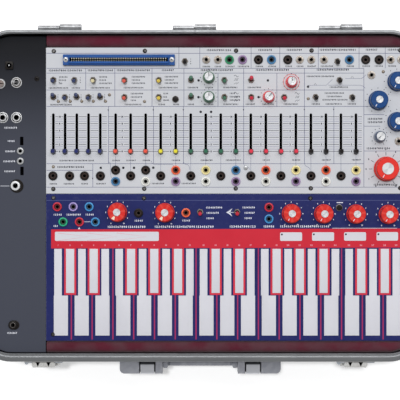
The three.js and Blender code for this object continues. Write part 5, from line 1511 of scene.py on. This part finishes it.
# widths in millimetres, places in pixels of the photograph
printLook = {"line": 0.5, "scaleMajor": 0.5, "scaleMinor": 0.36, "flow": 0.34, "number": 1.9, "slotRoom": 2.4,
             "majors": (116.7, 123.6, 130.6, 137.3, 144.4, 151.4),
             "numberColumns": (59.5, 122, 170.5, 211, 231, 260.7, 290, 321.4, 351.4),
             "across": [(py, 46.2, 363.6) for py in (68.3, 73.1, 90, 106.4, 163.7)]
                       + [(py, 46.2, 407.5) for py in (53.3, 187.2)]
                       + [(170.3, 46.2, 92.5), (114.6, 363.6, 384), (126.2, 363.6, 380), (151, 363.6, 407.5),
                          (106.4, 363.6, 372)],
             "down": [(px, 47.5, 68.3) for px in (178.6, 199.5, 250.8, 279.5, 318, 358.8, 385)]
                     + [(px, 68.3, 106.4) for px in (114.5, 151.7, 183.6)]
                     + [(px, 73.1, 106.4) for px in (217.7, 276.6)]
                     + [(px, 68.3, 163.7) for px in (243.4, 304.2)]
                     + [(px, 106.4, 163.7) for px in (108.2, 153.2, 183.2, 333.6)]
                     + [(85.4, 68.3, 90), (363.6, 68.3, 187.2), (92.5, 163.7, 187.2)],
             "flows": ((108, 160, 115, 181), (151, 161, 175.6, 170.2), (183, 161, 190.5, 170.2),
                       (243.4, 163.7, 251, 170.2), (304.2, 163.7, 311, 170.2)),
             "arrows": ((107.9, 109.6), (153, 109.6), (183, 109.6), (333.4, 109.6), (92.4, 178),
                        (243.2, 109.6), (304, 109.6)),
             "dots": ((198.3, 80.8), (198.2, 97.6), (267.6, 81), (258.3, 97.7), (307.8, 87.4), (200.4, 112.3),
                      (210.8, 112.3), (100.5, 168), (123, 168), (133.7, 168), (153, 168)),
             "numbered": (0.02, 0.052, 0.078, 0.084, 0.117, 0.149, 0.383),
             "marks": [(236, py, i % 3) for i, py in enumerate((76.5, 80, 83.8, 93.6, 97.3, 101))]
                      + [(297, 94, 0), (297, 97.6, 1), (297, 101.2, 2)],
             "signals": (((308, 86), (326, 86), (332, 80.3)), ((345, 79.3), (361.5, 79.3), (366, 75.5)),
                         ((328, 86), (360, 86), (363, 87), (365, 89))),
             # number rows: height, then picture row, then their ends along it
             "numbers": {
                 2.0: {
                     50.5: ((206, 231), (257.5, 272), (286, 302), (319, 356), (365, 377.5), (387, 398)),
                     70.4: ((48, 82), (87, 113), (116, 150), (161, 174), (200, 233), (255, 289), (316, 349)),
                     167: ((56.5, 84),), 119.7: ((367, 382.5),), 123: ((367, 382.5),), 149.2: ((366, 390),),
                     185.6: ((373, 397.5),)},
                 1.6: {
                     66.9: ((202, 210), (214, 221), (224.5, 234.7), (237, 249), (255, 263), (267.5, 276),
                            (284.5, 292), (296, 303.5), (306.7, 316), (320, 333), (346, 354), (361.7, 370),
                            (374, 383), (387.5, 396)),
                     77: ((58.3, 67.5), (98.3, 107), (131, 145), (164, 178), (306, 334)),
                     80.2: ((58.3, 66), (98.3, 106), (131, 140), (164, 174)),
                     83.4: ((58.3, 62), (98.3, 111.7), (131, 145), (164, 178)),
                     87.9: ((48, 68), (71, 80), (90, 109.7), (123, 143.3), (158, 177.5), (187, 198),
                            (204.5, 213), (222.5, 237.5), (247, 261), (329, 348)),
                     93.8: ((130, 143), (162.5, 168), (229, 235), (324, 344)),
                     97.2: ((130, 142), (162.5, 167), (229, 240), (326, 342)),
                     100.5: ((130, 136), (162.5, 169), (229, 240), (321.5, 347.5)),
                     104.7: ((49.5, 71.7), (124, 141.3), (157.5, 165), (172.5, 179), (187, 194), (203, 213.3),
                             (222.5, 238.3), (245, 255), (261.7, 273.7), (283, 298), (311, 320), (325, 341.7),
                             (347, 356)),
                     160.6: ((58.7, 94), (111.5, 120), (125.5, 135.8), (142, 150), (171, 180), (200, 212.5),
                             (225, 240.8), (262, 269.7), (291.3, 300.3), (321.3, 330.8), (351.3, 360.8)),
                     183.8: ((49, 57), (63, 74), (80.5, 87.8), (95.5, 105.8), (151, 164), (181, 195.8))}}}


def drawLine(bm, points, width, index=0, high=0.06):
    ribbon(bm, points, width, face - 0.02 * mm, face + high * mm, index)


def drawDown(bm, x, y0, y1, width):
    drawLine(bm, [(x, onMain(46, y0)[1]), (x, onMain(46, y1)[1])], width)


def around(spot, degrees, radius):
    angle = math.radians(degrees)
    return spot[0] + radius * mm * math.cos(angle), spot[1] + radius * mm * math.sin(angle)


def numberRows(bm, numbers, where, index):
    for size, rows in numbers.items():
        for py, spans in rows.items():
            for x0, x1 in spans:
                left, y = where(x0, py)
                right = where(x1, py)[0]
                numberRow(bm, ((left + right) / 2, y), (x1 - x0) * pixel, size, index)


def buildScales(bm, look):
    room, majors = look["slotRoom"] * mm, look["majors"]
    columns = [onMain(px, 0)[0] for px in look["numberColumns"]]
    clear = 1.9 * mm
    for i, py in enumerate(majors):
        for j in range(3 if i < 5 else 1):
            y = onMain(46, py + j * (majors[min(i + 1, 5)] - py) / 3)[1]
            for xs, start, end in ((closeXs, 50, 106.5), (wideXs, 108.5, 361.5)):
                stops = [onMain(start, 0)[0]] + [x + way * room for x in xs for way in (-1, 1)]
                stops.append(onMain(end, 0)[0])
                for x0, x1 in zip(stops[::2], stops[1::2]):
                    pieces = [(x0, x1)]
                    for column in columns:
                        if x0 < column < x1 and j == 0:
                            pieces = [(x0, column - clear), (column + clear, x1)]
                    for a, b in pieces:
                        if b - a > 0.6 * mm:
                            width = look["scaleMinor" if j else "scaleMajor"]
                            drawLine(bm, [(a, y), (b, y)], width, 2 if j else 1)
        for column in columns:
            write(bm, str(10 - 2 * i), column, onMain(46, py)[1], look["number"], 1)


# lines from the slide controls and switches down to their sockets
def buildFlows(bm, look):
    flow = look["flow"]
    for x in wideXs:
        drawDown(bm, x, 156.4, 166, flow)
    for x in wideXs[1::2]:
        drawDown(bm, x, 165.8, 171.2, flow)
    for px, py, endX, endY in look["flows"]:
        points = [(px, py), (px + 0.6, py + 2.4), (px + 2.2, py + 3.6)]
        if endY > 175:
            points += [(110.2, 174), (110.8, 177.5), (113, 180)]
        else:
            points += [(endX - 4, py + 3.8), (endX - 2.2, py + 4.8), (endX - 1.4, py + 6.4),
                       (endX - 1.4, endY)]
        drawLine(bm, [onMain(*point) for point in points], flow, 0, 0.055)
    for point in look["arrows"]:
        x, y = onMain(*point)
        prism(bm, [(x - 0.9 * mm, y), (x, y - 2.0 * mm), (x + 0.9 * mm, y)], face, face + 0.07 * mm, 0, 1)


# numbers beside the toggle switches that stand close together
def buildSwitchNumbers(bm, look):
    for up, _, levers in toggleRows.values():
        for along in levers:
            if along in look["numbered"]:
                x, y = mainShare(along, up)
                aside = (5.6 if up < 0.7 else 7.2) * mm
                for i in range(3):
                    write(bm, str(i + 1), x + aside, y + (2.8 - 2.8 * i) * mm, 1.35, 1)


# printed scales round the knobs: where a tick starts, its length and its width
dialLook = {"ticks": 11, "start": 240, "step": 30, "master": (16.6, 4.2, 0.6), "large": (14.6, 1.0, 0.9),
            "small": (9.6, 1.0, 0.9), "numbers": (24, 1.8), "ring": (9.7, 0.6, 40)}


def buildDials(bm, look):
    reach, size = look["numbers"]
    ringRadius, ringWidth, ringSides = look["ring"]
    for spot, shape, *_ in mainKnobs:
        kind = "master" if shape is masterShape else "large" if shape is largeShape else "small"
        radius, length, width = look[kind]
        for i in range(look["ticks"]):
            degrees = look["start"] - look["step"] * i
            drawLine(bm, [around(spot, degrees, radius), around(spot, degrees, radius + length)], width, 1)
            if kind == "master":
                write(bm, str(i), *around(spot, degrees, reach), size, 1)
        if spot == knobs["knob_crimson_back"][0]:
            for i in range(ringSides):
                ends = [around(spot, 360 / ringSides * (i + end), ringRadius) for end in (0, 1)]
                drawLine(bm, ends, ringWidth, 3)


# sine, square and ramp marks beside the wave switches, and the signal lines
def buildWaves(bm, look):
    sine = [((i - 6) * 0.45, 1.1 * math.sin(i * math.pi / 6)) for i in range(13)]
    square = ((-2.7, -1), (-1.4, -1), (-1.4, 1), (0, 1), (0, -1), (1.4, -1), (1.4, 1), (2.7, 1))
    ramp = ((-2.7, -1), (0, 1), (0.02, -1), (2.7, 1))
    for px, py, kind in look["marks"]:
        x, y = onMain(px, py)
        drawLine(bm, [(x + a * mm, y + b * mm) for a, b in (sine, square, ramp)[kind]], 0.48, 1)
    for points in look["signals"]:
        drawLine(bm, [onMain(*point) for point in points], look["flow"], 0, 0.055)
    for px, py in ((315, 85), (352, 78)):
        x, y = onMain(px, py)
        points = [(x - 1.6 * mm, y - 1.2 * mm), (x, y + 1.4 * mm), (x + 1.6 * mm, y - 1.2 * mm)]
        drawLine(bm, points, look["flow"], 1)


def buildMainPrint(look):
    bm = bmesh.new()
    for py, x0, x1 in look["across"]:
        y = onMain(46, py)[1]
        drawLine(bm, [(onMain(x0, py)[0], y), (onMain(x1, py)[0], y)], look["line"])
    for px, y0, y1 in look["down"]:
        drawDown(bm, onMain(px, 0)[0], y0, y1, look["line"])
    buildScales(bm, look)
    buildFlows(bm, look)
    buildSwitchNumbers(bm, look)
    numberRows(bm, look["numbers"], onMain, 1)
    for point in look["dots"]:
        lathe(bm, place(*onMain(*point), face), [(1.55, 0), (1.55, 0.06), (0, 0.07)], 14, 4)
    buildDials(bm, dialLook)
    buildWaves(bm, look)
    finishPiece("main_panel_print", bm, ["printInk", "numberInk", "faintInk", "redInk", "blackInk"])


boardPrintLook = {
    "lines": [(46.3, 407.5, 200.4, 0.4, 1), (332, 397, 228.2, 0.5, 0), (336.6, 342.9, 202.6, 1.1, 0),
              (84, 91.4, 221.8, 0.5, 0), (229, 235.6, 212.4, 0.6, 0)],
    "arrow": (79, 228.4), "arrowShape": ((-1.6, -1), (1.6, -1), (0, 1.4)), "swept": (226, 212.9),
    "sweptShape": ((0, 0), (3, 1.6), (7.6, 5), (5.4, 1.2), (5.4, -1.2), (7.6, -5), (3, -1.6)),
    "numbers": {
        1.9: {214.7: ((53, 62), (66, 81), (85, 94)), 220.9: ((134, 143), (181.7, 190.3)), 226: ((53, 58),),
              208: ((205.5, 222.5), (242, 255)), 213.3: ((206, 219), (244, 255)),
              218.7: ((206, 214), (244, 252))},
        2.3: {227: ((107, 145.8), (154, 214), (229, 256), (263, 274.5), (279.5, 329.5))}},
}


def buildBoardPrint(look):
    bm = bmesh.new()
    low, high = face - 0.02 * mm, face + 0.06 * mm
    for x0, x1, py, width, index in look["lines"]:
        y = boardEdge - (py - 194) * pixel
        drawLine(bm, [(onBoard(x0, py)[0], y), (onBoard(x1, py)[0], y)], width, index)
    for middle, shape in ((look["arrow"], look["arrowShape"]), (look["swept"], look["sweptShape"])):
        x, y = onBoard(*middle)
        prism(bm, [(x + a * mm, y + b * mm) for a, b in shape], low, high)
    for spot in boardKnobSpots:
        for i in range(11):
            radius = 15.6 if i in (0, 10) else 14.2
            write(bm, str(i), *around(spot, 240 - 30 * i, radius), 1.5)
    numberRows(bm, look["numbers"], onBoard, 0)
    finishPiece("keyboard_panel_print", bm, ["whiteInk", "dimInk"])


sidePrintLook = {"numbers": ((3.5, 17, 127.7), (7, 14.5, 141), (4.5, 15, 151.3), (2.5, 15, 161.3),
                             (3.5, 15, 171.3), (6.5, 17, 333)), "line": (0, 9, 186)}


def buildSidePrint(look):
    bm = bmesh.new()
    for x0, x1, py in look["numbers"]:
        numberRow(bm, onSide((x0 + x1) / 2, py), (x1 - x0) * pixel, 1.8)
    start, end, py = look["line"]
    drawLine(bm, [onSide(start, py), onSide(end, py)], 0.5)
    finishPiece("side_panel_print", bm, "whiteInk")


buildMainPrint(printLook)
buildBoardPrint(boardPrintLook)
buildSidePrint(sidePrintLook)
print("scales and numbers are printed")


# Floor, lamps and world

floorLook = {"size": 6, "cells": 24, "glow": 0.3}
lampLook = {"sun": 1.35, "sunSoft": 4.5, "sunSpot": (-0.19, 0.36, 2.2), "area": 33, "areaSize": (3.2, 0.9),
            "areaSpot": (0.25, 1.35, 2.6), "edge": 30, "edgeSize": (3.6, 0.6), "edgeSpot": (0.2, 2.1, 1.7),
            "world": 0.32, "reflected": 0.2}


def buildFloor(look):
    bm = bmesh.new()
    size, cells = look["size"], look["cells"]
    steps = [size * i / cells - size / 2 for i in range(cells + 1)]
    rows = [[bm.verts.new((x, y, 0)) for x in steps] for y in steps]
    for low, high in zip(rows, rows[1:]):
        for i in range(cells):
            bm.faces.new((low[i], low[i + 1], high[i + 1], high[i]))
    floor = finishPiece("studio_floor", bm, [], loose=True)
    paint = bpy.data.materials.new("floorPaint")
    paint.use_nodes = True
    tree = paint.node_tree
    tree.nodes.clear()
    white = useGroup(tree, "colourDrift", {"Base": tint(255, 255, 255), "Second": tint(254, 254, 254),
                                           "Scale": 3.0, "Amount": 0.5})["Color"]
    diffuse = addNode(tree, "ShaderNodeBsdfDiffuse", {"Color": white})
    glow = addNode(tree, "ShaderNodeEmission", {"Color": (1, 1, 1, 1), "Strength": 1.0})
    path = addNode(tree, "ShaderNodeLightPath").outputs
    seen = maths(tree, "MAXIMUM", maths(tree, "MAXIMUM", path["Is Camera Ray"], path["Is Glossy Ray"]),
                 path["Is Transmission Ray"])
    tree.links.new(maths(tree, "MULTIPLY", seen, look["glow"]), glow.inputs["Strength"])
    mixed = addNode(tree, "ShaderNodeAddShader", {0: diffuse.outputs[0], 1: glow.outputs[0]})
    addNode(tree, "ShaderNodeOutputMaterial", {"Surface": mixed.outputs[0]})
    floor.data.materials.append(paint)


def addLamp(name, kind, energy, spot, aim, **settings):
    data = bpy.data.lights.new(name, kind)
    data.energy = energy
    for key, value in settings.items():
        setattr(data, key, value)
    lamp = bpy.data.objects.new(name, data)
    lamp.location = spot
    lamp.rotation_euler = (Vector(aim) - Vector(spot)).to_track_quat("-Z", "Y").to_euler()
    bpy.context.scene.collection.objects.link(lamp)
    return lamp


def buildLight(look):
    sun = addLamp("sun", "SUN", look["sun"], look["sunSpot"], (0, 0, 0), angle=math.radians(look["sunSoft"]))
    sun.visible_glossy = False
    wide, deep = look["areaSize"]
    addLamp("softbox", "AREA", look["area"], look["areaSpot"], (0, 0, 0.08), shape="RECTANGLE", size=wide,
            size_y=deep)
    wide, deep = look["edgeSize"]
    edgeLamp = addLamp("edgeLight", "AREA", look["edge"], look["edgeSpot"], (0, 0.2, 0.09), shape="RECTANGLE",
                       size=wide, size_y=deep)
    edgeLamp.visible_diffuse = False
    world = bpy.data.worlds.new("studio")
    bpy.context.scene.world = world
    world.use_nodes = True
    tree = world.node_tree
    tree.nodes.clear()
    glossy = addNode(tree, "ShaderNodeLightPath").outputs["Is Glossy Ray"]
    strength = maths(tree, "ADD", maths(tree, "MULTIPLY", glossy, look["reflected"]), look["world"])
    back = addNode(tree, "ShaderNodeBackground", {"Color": (1, 1, 1, 1), "Strength": strength})
    addNode(tree, "ShaderNodeOutputWorld", {"Surface": back.outputs[0]})


buildFloor(floorLook)
buildLight(lampLook)
bpy.context.scene.view_settings.view_transform = "Standard"
print("studio is lit")
